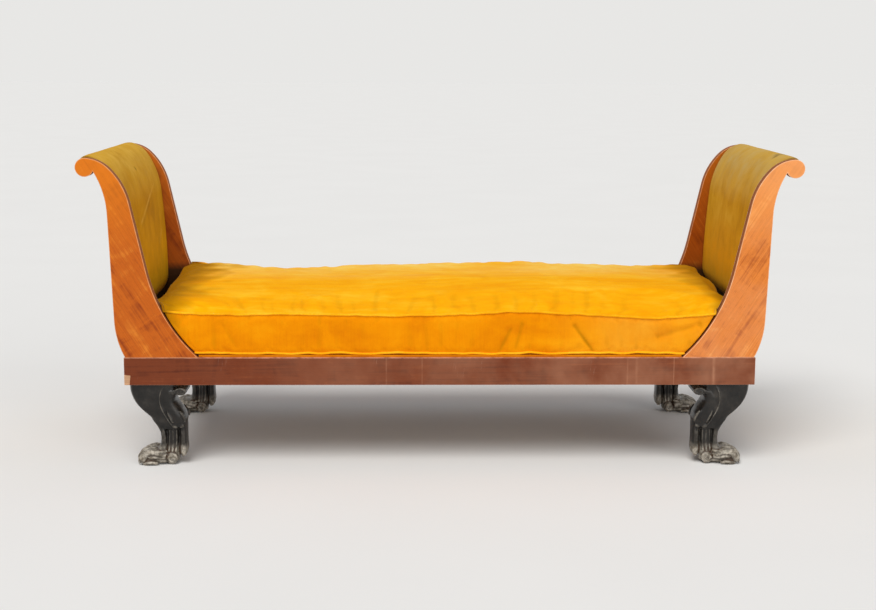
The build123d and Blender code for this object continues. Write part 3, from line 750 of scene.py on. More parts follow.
def top_height(x, y):
    """The height of the mattress's top, which rises from its front seam like a pillow."""
    front, fore, middle, aft, rear = (
        curve_through(line, x / mm) for line in (front_seam, front_line, middle_line, rear_line, rear_seam))
    seam = seam_y / mm
    shoulder = seam - shoulder_width
    fullness = 0.58 + 0.34 * max(0.0, -x - 0.6) / 0.19
    across = [(-seam, front), (-shoulder, between([front, fore], fullness)), (-line_y, fore), (0, middle),
              (line_y, aft), (shoulder, 0.35 * rear + 0.65 * aft), (seam, rear)]
    return curve_through(across, y / mm) * mm


def panel_edge(level):
    """How far from the middle the panels' inner edges stand at a height."""
    return panel_solid.ray_cast(Vector((0, -panel_inside - probe_depth, level)), Vector((1, 0, 0)))[0].x


def seat_swell(side, y):
    """How much further the mattress reaches between the panels than beside them."""
    start, inward = Vector((side * 2, 0, probe_level)), Vector((-side, 0, 0))
    beside, here = (seat_solid.ray_cast(start + Vector((0, place, 0)), inward)[0].x
                    for place in (-probe_y, clamped(y, -probe_y, probe_y)))
    return (here - beside) * (left_reach if side < 0 else 1)


def seat_end(side, y, level):
    """The mattress's end at one side, at a place across it and a height."""
    return side * (panel_edge(clamped(level, seat_base, panel_edge_level)) - end_gap) + seat_swell(side, y)


def wobble(x, y, z, size, amount):
    """A smooth unevenness of some size in metres."""
    return noise.noise(Vector((x, y, z)) / size) * amount


def divide_cube(bm, cuts):
    """Cuts a cube two units wide into a grid on every side."""
    for axis, count in enumerate(cuts):
        edges = [e for e in bm.edges if abs(e.verts[0].co[axis] - e.verts[1].co[axis]) > 1.9]
        bmesh.ops.subdivide_edges(bm, edges=edges, cuts=count, use_grid_fill=True)


print("heights of the top in the middle:", [round(top_height(0, y), 3) for y in (-seam_y, 0, seam_y)])

# %% [markdown]
# The cloth is gathered where it was sewn, so creases start at each seam and fade out from it. They are
# unevenly spaced, narrow and deep beside broad soft swellings. A few longer folds and notches have places of
# their own, read in the photograph.

# %% Gathers and folds
# Folds across the front: from and to as x and height in millimetres, then depth, half width and strength of
# painted shade
front_folds = [((367, 392), (418, 322), 4.0, 8.0, 0.34), ((598, 362), (712, 396), 3.5, 9.0, 0.05),
               ((560, 405), (700, 420), 2.0, 8.0, 0.0), ((-600, 400), (-560, 335), 2.0, 9.0, 0.08),
               ((205, 330), (222, 396), 2.6, 8.0, 0.16), ((160, 322), (190, 380), 3.0, 8.0, 0.2)]
# Notches in the rear seam: x, depth and half width in millimetres
rear_notches = [(-596, 15, 11), (-405, 12, 11), (-498, 4, 12), (-120, 2.5, 14), (60, 3, 15), (360, 4, 16),
                (470, 4, 12), (498, 3, 10)]
# The ends of the mattress, how far half of it reaches, and how much closer its points stand near the seams
seat_ends = (-0.787, 0.812)
half_seat = 0.795
closer_along, closer_across = 0.25, 0.5


def creases(along, seed, pitch, sharp):
    """0 on the swellings and up to 1 in the creases between them."""
    place = along / pitch + 0.9 * noise.noise(Vector((0.35 * along / pitch, seed, 0)))
    nearest = round(place)
    strength = 0.55 + 0.75 * noise.noise(Vector((nearest * 7.3, seed, 4)))
    return max(0.0, strength) * exp(-((place - nearest) / sharp) ** 2)


def fade(distance, reach):
    return max(0.0, 1 - distance / reach) ** 2


def from_line(x, z, start, stop):
    """How far a point is from a line between two points, all in millimetres."""
    away, run = Vector((x, z)) - Vector(start), Vector(stop) - Vector(start)
    return (away - clamped(away.dot(run) / run.length_squared) * run).length


def side_gather(x, w, side, level):
    """How far the front or rear boxing is drawn in, in metres."""
    leaning = x + 12 * mm * w * noise.noise(Vector((x * 6, side, 0)))
    low = (0.5 - 0.5 * w) ** 1.5 * creases(leaning, 1 + side, 0.056, 0.27)
    high = (0.5 + 0.5 * w) ** 2 * creases(leaning, 4 + side, 0.050, 0.25)
    whole = creases(leaning, 7 + side, 0.105, 0.16)
    depth = 6.0 * low + 3.5 * high + 2.4 * whole
    if side < 0:
        for start, stop, deep, wide, _ in front_folds:
            depth += deep * exp(-(from_line(x / mm, level / mm, start, stop) / wide) ** 2)
    return depth * mm * (1 - 0.55 * w**4)


def top_gather(x, y, inward, right_half):
    """How far the top is drawn down, in metres: at its seams, and in folds across it near its ends."""
    rear, front = seam_y - y, seam_y + y
    depth = 6.0 * fade(rear, 0.10) * creases(x, 11, 0.075, 0.17)
    depth += 1.2 * fade(front, 0.04) * creases(x, 12, 0.05, 0.25)
    for place, deep, wide in rear_notches:
        depth += deep * fade(rear, 0.07) * exp(-((x / mm - place) / wide) ** 2)
    crosswise = fade(inward, 0.17 if right_half else 0.12) ** 0.6 * min(1.0, inward / 0.02)
    depth += 1.6 * crosswise * creases(y + 0.02 * noise.noise(Vector((x * 9, 3, 0))), 13, 0.034, 0.22)
    ripples = noise.noise(Vector((x / 0.26, y / 0.034, 2))) + 0.6 * noise.noise(Vector((x / 0.12, y / 0.02, 8)))
    return (depth + 0.9 * ripples) * mm


def seat_point(u, v, w):
    """The place on the mattress of a point of the cube."""
    u = (1 - closer_along) * u + closer_along * sin(u * pi / 2)
    v = (1 - closer_across) * v + closer_across * sin(v * pi / 2)
    y = v * (seam_y + side_bulge * (1 - w * w))
    x = u * half_length * 0.88
    round_by = end_roll["left" if u < 0 else "right"]
    rolling = 1 - min(1.0, (1 - abs(u)) * half_seat / round_by)
    roll = round_by * (1 - (1 - rolling**2) ** 0.5) * (1 - v**6)
    for _ in range(2):
        top = top_height(x, v * seam_y) - start_low * (1 - v**4) - roll
        bottom = seat_base + seam_lift * (abs(v) ** 10 if w < 0 else 0) * (0.8 + wobble(x, v, 1, 0.06, 0.9))
        level = bottom + (top - bottom) * (w + 1) / 2
        left, right = (seat_end(side, y, level) for side in (-1, 1))
        x = left + (right - left) * (u + 1) / 2
    return Vector((x, y, level))


def from_end(place):
    """How far a point is from the nearer end of the mattress."""
    return max(0.0, min(place.x - seat_ends[0], seat_ends[1] - place.x))


def gathered(place, v, w):
    """A point of the mattress, drawn in by the creases of its side or its top."""
    drawn = place.copy()
    if abs(v) > 0.9999:
        drawn.y -= v * side_gather(place.x, w, v, place.z) * min(1.0, from_end(place) / 0.03)
    if w > 0.9999:
        drawn.z -= top_gather(place.x, place.y, from_end(place), place.x > 0)
    return drawn


def mattress_form():
    bm = bmesh.new()
    bmesh.ops.create_cube(bm, size=2)
    divide_cube(bm, seat_cuts)
    across, up, held = (float_layer(bm, layer) for layer in ("across", "up", "held"))
    for vert in bm.verts:
        u, v, w = vert.co
        vert[across], vert[up] = v, w
        vert[held] = 1.0 if sum(abs(c) > 0.999 for c in (u, v, w)) > 1 else 0.0
        vert.co = seat_point(u, v, w)
    for face_made in bm.faces:
        face_made.material_index = 0 if all(v[up] > 0.999 for v in face_made.verts) else 1
    bmesh.ops.recalc_face_normals(bm, faces=bm.faces)
    return bm


seat_mesh = mattress_form()
print("mattress starts with", len(seat_mesh.verts), "points")

# %% [markdown]
# ## The mattress: its stuffing
#
# Loose stuffing swells each cloth panel between its seams. Blender's cloth simulation does just that with
# pressure inside, a cloth that grows by one and a half parts in a hundred, and the seams held still. The
# movement of each point is capped, and the points are kept out of the deck and the end panels.

# %% Stuffing
cloth_growth = 0.015
cloth_stiffness = 15.0
cloth_bending = 0.5


def swell(piece, pressure, cap, frames, held=None):
    """Swells a piece with the cloth simulation, and then keeps each point within a distance of its start."""
    cloth = piece.modifiers.new("stuffing", "CLOTH")
    settings = cloth.settings
    settings.use_pressure = True
    settings.uniform_pressure_force = pressure
    settings.effector_weights.gravity = 0
    settings.shrink_min = -cloth_growth
    settings.tension_stiffness = cloth_stiffness
    settings.compression_stiffness = cloth_stiffness
    settings.bending_stiffness = cloth_bending
    if held:
        group = piece.vertex_groups.new(name="held")
        group.add(held, 1.0, "REPLACE")
        settings.vertex_group_mass = "held"
    start = [v.co.copy() for v in piece.data.vertices]
    for number in range(1, frames + 1):
        bpy.context.scene.frame_set(number)
    from_modifiers(piece)
    for vert, first in zip(piece.data.vertices, start):
        move = vert.co - first
        if move.length > cap:
            vert.co = first + move * cap / move.length
    bpy.context.scene.frame_set(1)


def subdivided(piece):
    finer = piece.modifiers.new("finer", "SUBSURF")
    finer.levels = finer.render_levels = 1
    return from_modifiers(piece)


def rub_smooth(bm, rounds):
    for _ in range(rounds):
        bmesh.ops.smooth_vert(bm, verts=bm.verts, factor=0.5, use_axis_x=True, use_axis_y=True, use_axis_z=True)


def standing_out(bm, rounds, full):
    """How far each point stands out of the smoothed surface: 1 on a ridge, -1 in a hollow."""
    soft = bm.copy()
    rub_smooth(soft, rounds)
    soft.verts.ensure_lookup_table()
    amounts = [(v.co - soft.verts[v.index].co).dot(v.normal) / full for v in bm.verts]
    soft.free()
    return amounts


def paint(piece, measure):
    """Gives each point the numbers that a function finds for it, by name."""
    bm = bmesh.new()
    bm.from_mesh(piece.data)
    bm.normal_update()
    for name, values in measure(bm).items():
        layer = float_layer(bm, name)
        for vert, value in zip(bm.verts, values):
            vert[layer] = value
    bm.to_mesh(piece.data)
    bm.free()


# How far painted shade reaches from the mattress's ends: on its boxing, and on its top, further at the left and
# the rear
boxing_end_shade = {"left": 90 * mm, "right": 50 * mm}
top_end_shade, left_end_shade, rear_end_shade = 115 * mm, 65 * mm, 50 * mm
fold_shade_top, fold_shade_fade, fold_shade_width = 400 * mm, 60 * mm, 4.5
hollow_depth, hollow_rounds = 2.4 * mm, 16
on_side = 0.9999


def seat_limits(place):
    """Brings a point back above the deck, between the ends and inside the panels."""
    y = clamped(place.y, -seat_high.y, seat_high.y)
    left, right = (seat_end(side, y, place.z) for side in (-1, 1))
    return Vector((clamped(place.x, left, right), y, clamped(place.z, seat_base, top_level)))


def end_shade_amount(place, reach):
    """How much painted shade the velvet gets near the mattress's ends, which sit against the upholstery."""
    reach *= 1 + 0.5 * noise.noise(place / 0.05)
    return clamped((reach - from_end(place)) / (reach - 0.3 * reach)) ** 1.3


def fold_shade(place):
    """The painted shade along the folds across the front, which fades upwards."""
    low = clamped((fold_shade_top - place.z) / fold_shade_fade, 0.15)
    return max(low * dark * exp(-(from_line(place.x / mm, place.z / mm, start, stop) / fold_shade_width) ** 2)
               for start, stop, _, _, dark in front_folds)


def seat_shade_and_sheen(bm):
    """Painted shade in the creases and at the ends, and a painted sheen: the top paler towards the back, the
    boxing towards the right.
    """
    across, up = bm.verts.layers.float["across"], bm.verts.layers.float["up"]
    shade, paler_with_sheen = [], []
    for vert, hollow in zip(bm.verts, standing_out(bm, hollow_rounds, hollow_depth)):
        reach = top_end_shade + rear_end_shade * vert.co.y / seam_y + (left_end_shade if vert.co.x < 0 else 0)
        if abs(vert[across]) > on_side:
            reach = boxing_end_shade["right" if vert.co.x > 0 else "left"]
        end_shade = end_shade_amount(vert.co, reach)
        if vert[across] < -on_side:
            end_shade = min(1.0, end_shade + fold_shade(vert.co))
        # Painted shade at the ends, along the front folds and in the hollows of the creases
        shade.append(min(1.0, end_shade + 0.62 * max(0.0, -hollow - 0.05)))
        drift = 0.75 + 0.9 * noise.noise(vert.co / 0.21)
        # Painted sheen makes the top paler towards the back; the boxing is made paler towards the right
        paler = 0.8 * clamped((vert.co.x - 0.28) / 0.3)
        if vert[up] > on_side:
            paler = clamped((vert.co.y + 0.04) / 0.28)
        paler_with_sheen.append(paler * drift * (1 - end_shade))
    return {"shade": shade, "paler_with_sheen": paler_with_sheen}


def stuffed_mattress():
    held = seat_mesh.verts.layers.float["held"]
    seams = [v.index for v in seat_mesh.verts if v[held] > 0.5]
    piece = to_object(seat_mesh, "mattress", seat_velvet)
    piece.data.materials.append(boxing_velvet)
    swell(piece, pressure=2.2, cap=12 * mm, frames=20, held=seams)
    subdivided(piece)
    across, up = (piece.data.attributes[layer].data for layer in ("across", "up"))
    for vert, v, w in zip(piece.data.vertices, across, up):
        vert.co = gathered(seat_limits(vert.co), v.value, w.value)
    paint(piece, seat_shade_and_sheen)
    return piece


seat = stuffed_mattress()
print("mattress:", len(seat.data.vertices), "points")
hand_over(seat, "mattress", ["mattress_cover", "mattress_filling"])

# %% [markdown]
# ## Piping
#
# A cord covered in velvet is sewn into both seams of the mattress. It is a thin tube that follows the seam
# round the mattress, a little unevenly, as a cord does that was sewn in by hand.

# %% Piping
piping_radius = 3.4 * mm


def seam_path(w):
    """The points of the top (w = 1) or bottom (w = -1) seam, in order round the mattress."""
    long_way = [i / 95 - 1 for i in range(190)]
    short_way = [i / 31 - 1 for i in range(62)]
    order = [(u, -1) for u in long_way] + [(1, v) for v in short_way]
    order += [(-u, 1) for u in long_way] + [(-1, -v) for v in short_way]
    return [gathered(seat_point(u, v, w), v, w) for u, v in order]


def piping(name, w, out, lift):
    path = []
    for place in seam_path(w):
        loose = wobble(place.x, place.y, 5 * w, 0.03, 1.6 * mm)
        kept = seat_limits(place + Vector((0, 0, lift + loose)))
        if abs(kept.y) > 0.33:
            kept.y += out if kept.y > 0 else -out
        if abs(kept.y) < 0.32:
            kept += Vector((-3.5 * mm if kept.x > 0 else 3.5 * mm, 0, -3 * mm * w))
        path.append(kept)
    bm = bmesh.new()
    tube(bm, path, [piping_radius] * len(path), points=10, side=Vector((0, 0, 1)), closed=True)
    bmesh.ops.recalc_face_normals(bm, faces=bm.faces)
    cord_made = to_object(bm, name, piping_velvet)
    # Painted shade on the piping near the mattress's ends
    paint(cord_made, lambda points: {"shade": [min(1.0, 1.5 * end_shade_amount(v.co, 0.06)) for v in points.verts]})
    return hand_over(cord_made, "mattress")


pipings = [piping("upper_piping", 1, 1.5 * mm, 0.5 * mm), piping("lower_piping", -1, 1.0 * mm, 1.0 * mm)]
print("piping:", [len(p.data.vertices) for p in pipings])

# %% [markdown]
# ## The upholstered ends
# Each end has one pad, from behind the mattress up over the scroll. Its fibre stuffing swells a tight cover
# only a little. The frame's two solids, stuffing and cover, give the form together. They are remeshed into even
# squares, and the same cloth simulation softens them. Where the pad thins beside the panels it is kept clear of
# the turned roll inside the scroll. On top of the scroll, where arms and heads have lain, the velvet is worn
# and paler, partly a painted highlight. Painted light brightens it lower down, and painted shade darkens its
# foot behind the mattress and its sides beside the panels.

# %% Upholstered ends
# Painted shade at the pads' feet and beside the panels
pad_shade_colour = (0.030, 0.013, 0.002)
end_velvets = {
    "left": velvet("left_end_velvet", (0.42, 0.185, 0.001), (0.54, 0.255, 0.002), (0.62, 0.32, 0.008), 0.02,
                   (1.0, 0.85, 0.5), (0.05, 0.0030, 0.25), 0.14,
                   [("painted_light", (0.74, 0.36, 0.001)), ("wear_and_highlight", (0.70, 0.41, 0.055)), ("shade", pad_shade_colour)]),
    "right": velvet("right_end_velvet", (0.46, 0.215, 0.003), (0.60, 0.305, 0.008), (0.68, 0.39, 0.030), 0.02,
                    (1.0, 0.88, 0.6), (0.05, 0.0026, 0.35), 0.30,
                    [("painted_light", (0.72, 0.33, 0.001)), ("wear_and_highlight", (0.58, 0.39, 0.12)), ("shade", pad_shade_colour)]),
}
pad_voxel = 6 * mm
pad_side = panel_inside - 0.6 * mm
# Wear and a painted highlight on the scroll above these heights
wear_and_highlight_from, wear_and_highlight_full = 0.70, 0.83
# Painted light: the pads grow brighter below these heights
painted_light_from, painted_light_full = 0.66, 0.54
pad_foot = {"left": 0.412, "right": 0.438}
pad_front = 845 * mm
pad_tuck = 12 * mm
tuck_above, tuck_below = 30 * mm, 10 * mm
foot_rise, foot_blur, beside_panel = 24 * mm, 12 * mm, 12 * mm
pad_over_roll = 3 * mm
pad_widened = 1.025
# Marks on the pads: from and to as y and height, half width in millimetres, layer and strength
pad_marks = {
    # On the left pad the first three marks are the painted highlight of a crease, and the fourth its painted
    # shade
    "left": [((172, 739), (58, 710), 5, "wear_and_highlight", 0.8), ((58, 710), (-35, 678), 5, "wear_and_highlight", 0.9),
             ((-35, 678), (-117, 649), 5, "wear_and_highlight", 0.7), ((60, 700), (-110, 638), 6, "shade", 0.12),
             ((-27, 799), (-23, 795), 4, "shade", 0.7), ((208, 592), (150, 560), 7, "wear_and_highlight", 0.4)],
    "right": [((-240, 848), (-222, 853), 4, "shade", 0.5), ((-212, 854), (-200, 856), 4, "shade", 0.4)],
}


def remeshed(piece, voxel):
    even = piece.modifiers.new("even", "REMESH")
    even.mode = "VOXEL"
    even.voxel_size = voxel
    even.use_smooth_shade = True
    return from_modifiers(piece)


def rise(value, start, full):
    return clamped((value - start) / (full - start))


def pad_wear_light_and_shade(end):
    """Wear and a painted highlight on the scroll, painted light low down, and painted shade at the tucked-in
    foot and beside the panels.
    """
    def measure(bm):
        wear_and_highlight, painted_light, shade = [], [], []
        for vert in bm.verts:
            drift = 0.8 + 0.6 * noise.noise(vert.co / 0.09)
            wear_and_highlight.append(min(1.0, 1.4 * rise(vert.co.z, wear_and_highlight_from, wear_and_highlight_full) * drift))
            painted_light.append(rise(vert.co.z, painted_light_from, painted_light_full))
            # Painted shade: at the tucked-in foot, and half as much beside the panels
            foot = pad_foot[end] + foot_rise * max(0.0, vert.co.y / panel_inside) ** 6
            tucked = rise(vert.co.z, foot, foot - foot_blur)
            beside = 0.5 * fade(panel_inside - abs(vert.co.y), beside_panel)
            shade.append(max(tucked, beside))
            for start, stop, half_width, layer, strength in pad_marks[end]:
                away = from_line(vert.co.y / mm, vert.co.z / mm, start, stop) / half_width
                mark = strength * exp(-away**2)
                marked = wear_and_highlight if layer == "wear_and_highlight" else shade
                marked[-1] = max(marked[-1], mark)
        return {"wear_and_highlight": wear_and_highlight, "painted_light": painted_light, "shade": shade}
    return measure


def end_pad(end):
    bm = bmesh.new()
    for part in ("pad_stuffing", "pad_cover"):
        pour(node_copy(f"{end}_{part}"), bm)
    piece = remeshed(to_object(bm, f"{end}_end_pad", end_velvets[end]), pad_voxel)
    swell(piece, pressure=3.0, cap=5 * mm, frames=14)
    foot = pad_foot[end]
    roll = BVHTree.FromBMesh(node_copy(f"{end}_crest_roll"))
    for vert in piece.data.vertices:
        nearest, outward, _, gap = roll.find_nearest(vert.co)
        if gap < pad_over_roll and outward.dot(vert.normal) > -0.3:
            vert.co = nearest + outward * pad_over_roll
        vert.co.y = clamped(vert.co.y * pad_widened, -pad_side, pad_side)
        under = rise(vert.co.z, foot + tuck_above, foot - tuck_below)
        if abs(vert.co.x) < pad_front + pad_tuck:
            vert.co.x += (1 if vert.co.x > 0 else -1) * pad_tuck * under * under
    subdivided(piece)
    paint(piece, pad_wear_light_and_shade(end))
    return hand_over(piece, nodes=[f"{end}_pad_cover", f"{end}_pad_stuffing"])


pads = [end_pad(end) for end in ends]
print("pads:", [len(p.data.vertices) for p in pads])

# %% [markdown]
# ## The carved legs
#
# The legs are lion's legs seen from the side: a broad thigh under the rail, a strap that starts in a small
# volute and runs down over the hock, a lean shank with ribs, and a paw that points outwards. A carver cuts them
# from one block, and here many simple forms are laid into each other and then remeshed into one skin, which
# gives the soft inner corners that a gouge leaves. One leg is made and mirrored to the other three places.
#
# Each form is a row of sections in the leg's own measure: reach outwards from the leg's axis, depth from the
# leg's middle towards the back, and height, in millimetres.

# %% Leg forms
leg_low, leg_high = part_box("front_right_leg")
leg_axis_x = 777 * mm
leg_axis_y = -307 * mm
tenon_y = -291 * mm
tenon_radius = 17.5 * mm
leg_voxel = 1.7 * mm
bar_points, level_bar_points, cord_points = 28, 32, 10


def leg_place(reach, depth, height):
    return Vector((leg_axis_x, leg_axis_y, 0)) + Vector((reach, depth, height)) * mm


def bar(bm, sections, squareness=3.0):
    """A form that spans the leg's depth. Each section: reach, height, half its thickness, half its depth."""
    path = [leg_place(reach, 0, height) for reach, height, _, _ in sections]
    rings = []
    for i, (_, _, thick, deep) in enumerate(sections):
        ahead = path[min(i + 1, len(path) - 1)] - path[max(i - 1, 0)]
        rings.append(ring(bm, path[i], ahead, Vector((0, 1, 0)), deep * mm, thick * mm, bar_points, squareness))
    bridge(bm, rings)


def level_bar(bm, sections, squareness=3.0):
    """A form of level sections. Each: height, inner reach, outer reach, half its depth."""
    bridge(bm, [ring(bm, leg_place((inner + outer) / 2, 0, height), Vector((0, 0, 1)), Vector((1, 0, 0)),
                     (outer - inner) / 2 * mm, deep * mm, level_bar_points, squareness)
                for height, inner, outer, deep in sections])


def cord(bm, points, radius):
    """A thin raised line through points of reach, depth and height, on both faces of the leg."""
    for side in (1, -1):
        path = smooth_path([leg_place(reach, side * depth, height) for reach, depth, height in points], 5)
        shares = [(i + 0.5) / len(path) for i in range(len(path))]
        tube(bm, path, [radius * mm * (0.45 + 0.55 * sin(pi * share) ** 0.5) for share in shares], cord_points)


def pebble(bm, reach, depth, height, long, deep, tall):
    """A rounded lump with three half sizes."""
    size = Matrix.Diagonal((long * mm, deep * mm, tall * mm, 1))
    bmesh.ops.create_uvsphere(bm, u_segments=20, v_segments=14, radius=1,
                              matrix=Matrix.Translation(leg_place(reach, depth, height)) @ size)


def leg_body(bm):
    """The thigh, sawn from the plank, the lean shank in its hollow, and a round pillar on either side of it."""
    level_bar(bm, [(230, -46, 79, 43.5), (214, -46, 78, 43.5), (200, -45, 75, 43.5), (186, -44, 69.5, 43.3),
                   (172, -45, 61, 43), (160, -48, 50.5, 42.5), (150, -52, 40, 41.5), (140, -56, 28.5, 40),
                   (130, -60, 18.5, 38), (120, -62, 11, 36), (110, -63, 5, 33), (100, -63, 0, 29)], 7)
    level_bar(bm, [(124, -56, -14, 27.5), (90, -57, -15, 26), (60, -57, -14, 26), (30, -54, -10, 27),
                   (8, -50, 0, 27)])
    bar(bm, [(22, 146, 8, 34), (10, 130, 11.5, 34.5), (-2, 112, 11, 33.5), (-9, 94, 9.5, 32.5),
             (-11.5, 76, 9.5, 32.5), (-11, 58, 10.5, 33), (-6, 38, 14, 34)])
    bar(bm, [(-60, 128, 12, 35), (-63.5, 108, 10, 32), (-64, 86, 9, 31), (-64, 60, 9.5, 31),
             (-64.5, 42, 10.5, 31), (-63, 28, 9, 27), (-61, 20, 5, 18)])


def leg_strap(bm):
    """The broad strap that rolls out of the volute and ends in the round hock, with a bead along its edge."""
    bar(bm, [(-59, 208, 8, 43.8), (-46, 209, 11, 44.2), (-33, 204, 15.5, 44.6), (-26, 192, 20, 44.8),
             (-26, 177, 21, 44.8), (-32, 161, 22.5, 45), (-41, 146, 24, 45.4), (-48, 134, 24.5, 45.2),
             (-51, 123, 24, 43), (-51, 113, 21, 39), (-50, 104, 13, 33)])
    cord(bm, [(-22, 42, 227), (-11, 44.5, 216), (-6, 45, 202), (-4.5, 45, 186), (-7, 44.8, 169),
              (-13, 44.2, 153), (-21, 42.6, 138), (-28, 40, 124), (-34, 37, 112)], 2.0)
    cord(bm, [(-24, 41.5, 156), (-29, 42, 144), (-35, 42, 132), (-40, 40.6, 121)], 4.6)
    cord(bm, [(-58, 41, 154), (-65, 40.5, 144), (-70.5, 39.5, 133), (-72, 37, 123)], 4.4)
    for reach, depth, height, long in ((-44, 36, 111, 9), (-61, 35, 112, 8)):
        for side in (1, -1):
            pebble(bm, reach, side * depth, height, long, 5, 7)


def leg_volute(bm):
    """The small flattened scroll under the rail, a roll right through the leg with a spiral on each face."""
    reach, height = -61, 209
    roll = bmesh.ops.create_cone(bm, cap_ends=True, segments=40, radius1=1, radius2=1, depth=87 * mm)["verts"]
    flat = Matrix.Diagonal((16.5 * mm, 1, 10.5 * mm, 1)) @ Matrix.Rotation(pi / 2, 4, "X")
    bmesh.ops.transform(bm, matrix=Matrix.Translation(leg_place(reach, 0, height)) @ flat, verts=roll)
    spiral = []
    for i in range(30):
        angle, size = -0.3 + i * 0.36, 1 - 0.029 * i
        spiral.append((reach + 15 * size * cos(angle), 43.9, height + 9.2 * size * sin(angle)))
    cord(bm, spiral, 1.7)
    for side in (43.5, -43.5):
        pebble(bm, reach, side, height, 3.6, 2.2, 2.2)


def leg_shank(bm):
    """Low ribs in the hollow of the shank's faces. Their upper ends run in under the hock."""
    for reach, depth in ((-26, 26), (-36, 26.6), (-46, 26.6)):
        cord(bm, [(reach, depth, 124), (reach, depth, 98), (reach, depth, 66), (reach + 3, depth + 1, 36)], 2.2)


def leg_paw(bm):
    """The paw, with four toes side by side, a pad under each, folds along its side and the curl at its heel."""
    bar(bm, [(-42, 10, 10, 24), (-26, 17, 16, 31), (-4, 21, 21, 37), (16, 22, 22, 40.5), (34, 20, 20, 42),
             (48, 15, 15, 41), (57, 10, 9, 36)], 2.8)
    for i, depth in enumerate((-35.5, -11.8, 11.8, 35.5)):
        back = 6 if i in (0, 3) else 0
        path = [(-16, 24), (4, 31), (22 - back / 2, 34), (36 - back, 33), (47 - back, 27), (54 - back, 17),
                (57 - back, 8)]
        radii = [8, 10.5, 11.8, 10.8, 12.2, 11.6, 7]
        tube(bm, smooth_path([leg_place(reach, depth, height) for reach, height in path], 3),
             [between(radii, k / 18) * mm for k in range(19)], points=18)
        pebble(bm, 28 - back, depth, 38, 8, 10, 8)
        pebble(bm, 47 - back, depth, 29, 8, 10, 9)
        claw = [leg_place(reach - back, depth, height) for reach, height in ((56, 14), (62, 8), (64.5, 1.5))]
        tube(bm, claw, [4.6 * mm, 3.2 * mm, 1.0 * mm], points=12)
        pebble(bm, 42 - back, depth, 5, 12, 10, 6.5)
    cord(bm, [(18, 42, 41), (4, 41, 38), (-10, 37, 37), (-20, 33, 40)], 4.2)
    cord(bm, [(30, 44.5, 23), (14, 44.5, 24), (-2, 41, 21), (-16, 36, 21)], 4.2)
    cord(bm, [(38, 44.5, 7), (20, 44, 8), (4, 41, 6)], 4.4)
    for side in (1, -1):
        pebble(bm, -32, side * 27, 17, 16, 9.5, 16)
        curl = []
        for a in range(22):
            size, angle = 11 - 0.32 * a, a * pi / 7
            curl.append(leg_place(-32 + size * cos(angle), side * 36, size * sin(angle) + 17))
        tube(bm, curl, [(2.2 - 0.05 * a) * mm for a in range(22)], points=8)


def leg_tenon(bm):
    """The round tenon that goes up into the corner block."""
    low = 215 * mm
    tenon = bmesh.ops.create_cone(bm, cap_ends=True, segments=40, radius1=tenon_radius, radius2=tenon_radius,
                                  depth=leg_high.z - low)["verts"]
    bmesh.ops.translate(bm, verts=tenon, vec=(leg_axis_x, tenon_y, (low + leg_high.z) / 2))


print("leg box", [round(v, 4) for v in leg_low], [round(v, 4) for v in leg_high])

# %% [markdown]
# ## The carved legs: skin and finish
#
# The forms are laid together, remeshed into one skin and rubbed smooth. How far each point stands out of a much
# smoother copy of the leg tells where hands, brooms and shoes have worn it: high places are pale, partly a
# painted highlight, and hollows keep the dark stain. The finish reads that number from the mesh, so both follow
# the carving.

# %% Leg skin
def leg_skin():
    """The front right leg as one skin, with its wear, in a bmesh."""
    bm = bmesh.new()
    for carve in (leg_body, leg_strap, leg_volute, leg_shank, leg_paw, leg_tenon):
        carve(bm)
    bmesh.ops.recalc_face_normals(bm, faces=bm.faces)
    block = remeshed(to_object(bm, "leg_block", ground_wood), leg_voxel)
    bm = bmesh.new()
    bm.from_mesh(block.data)
    bpy.data.objects.remove(block)
    rub_smooth(bm, 2)
    for vert in bm.verts:
        vert.co.z = max(0.0, vert.co.z)
        if hypot(vert.co.x - leg_axis_x, vert.co.y - tenon_y) > tenon_radius + 2 * mm:
            vert.co.z = min(vert.co.z, leg_height - 0.2 * mm)
    bm.normal_update()
    wear_and_highlight = float_layer(bm, "wear_and_highlight")
    fine, broad = standing_out(bm, 4, 0.30 * mm), standing_out(bm, 24, 1.6 * mm)
    for vert, near, far in zip(bm.verts, fine, broad):
        vert[wear_and_highlight] = clamped(0.6 * near + 0.5 * far, -1.0)
    return bm


skin = leg_skin()
print("leg skin:", len(skin.verts), "points")


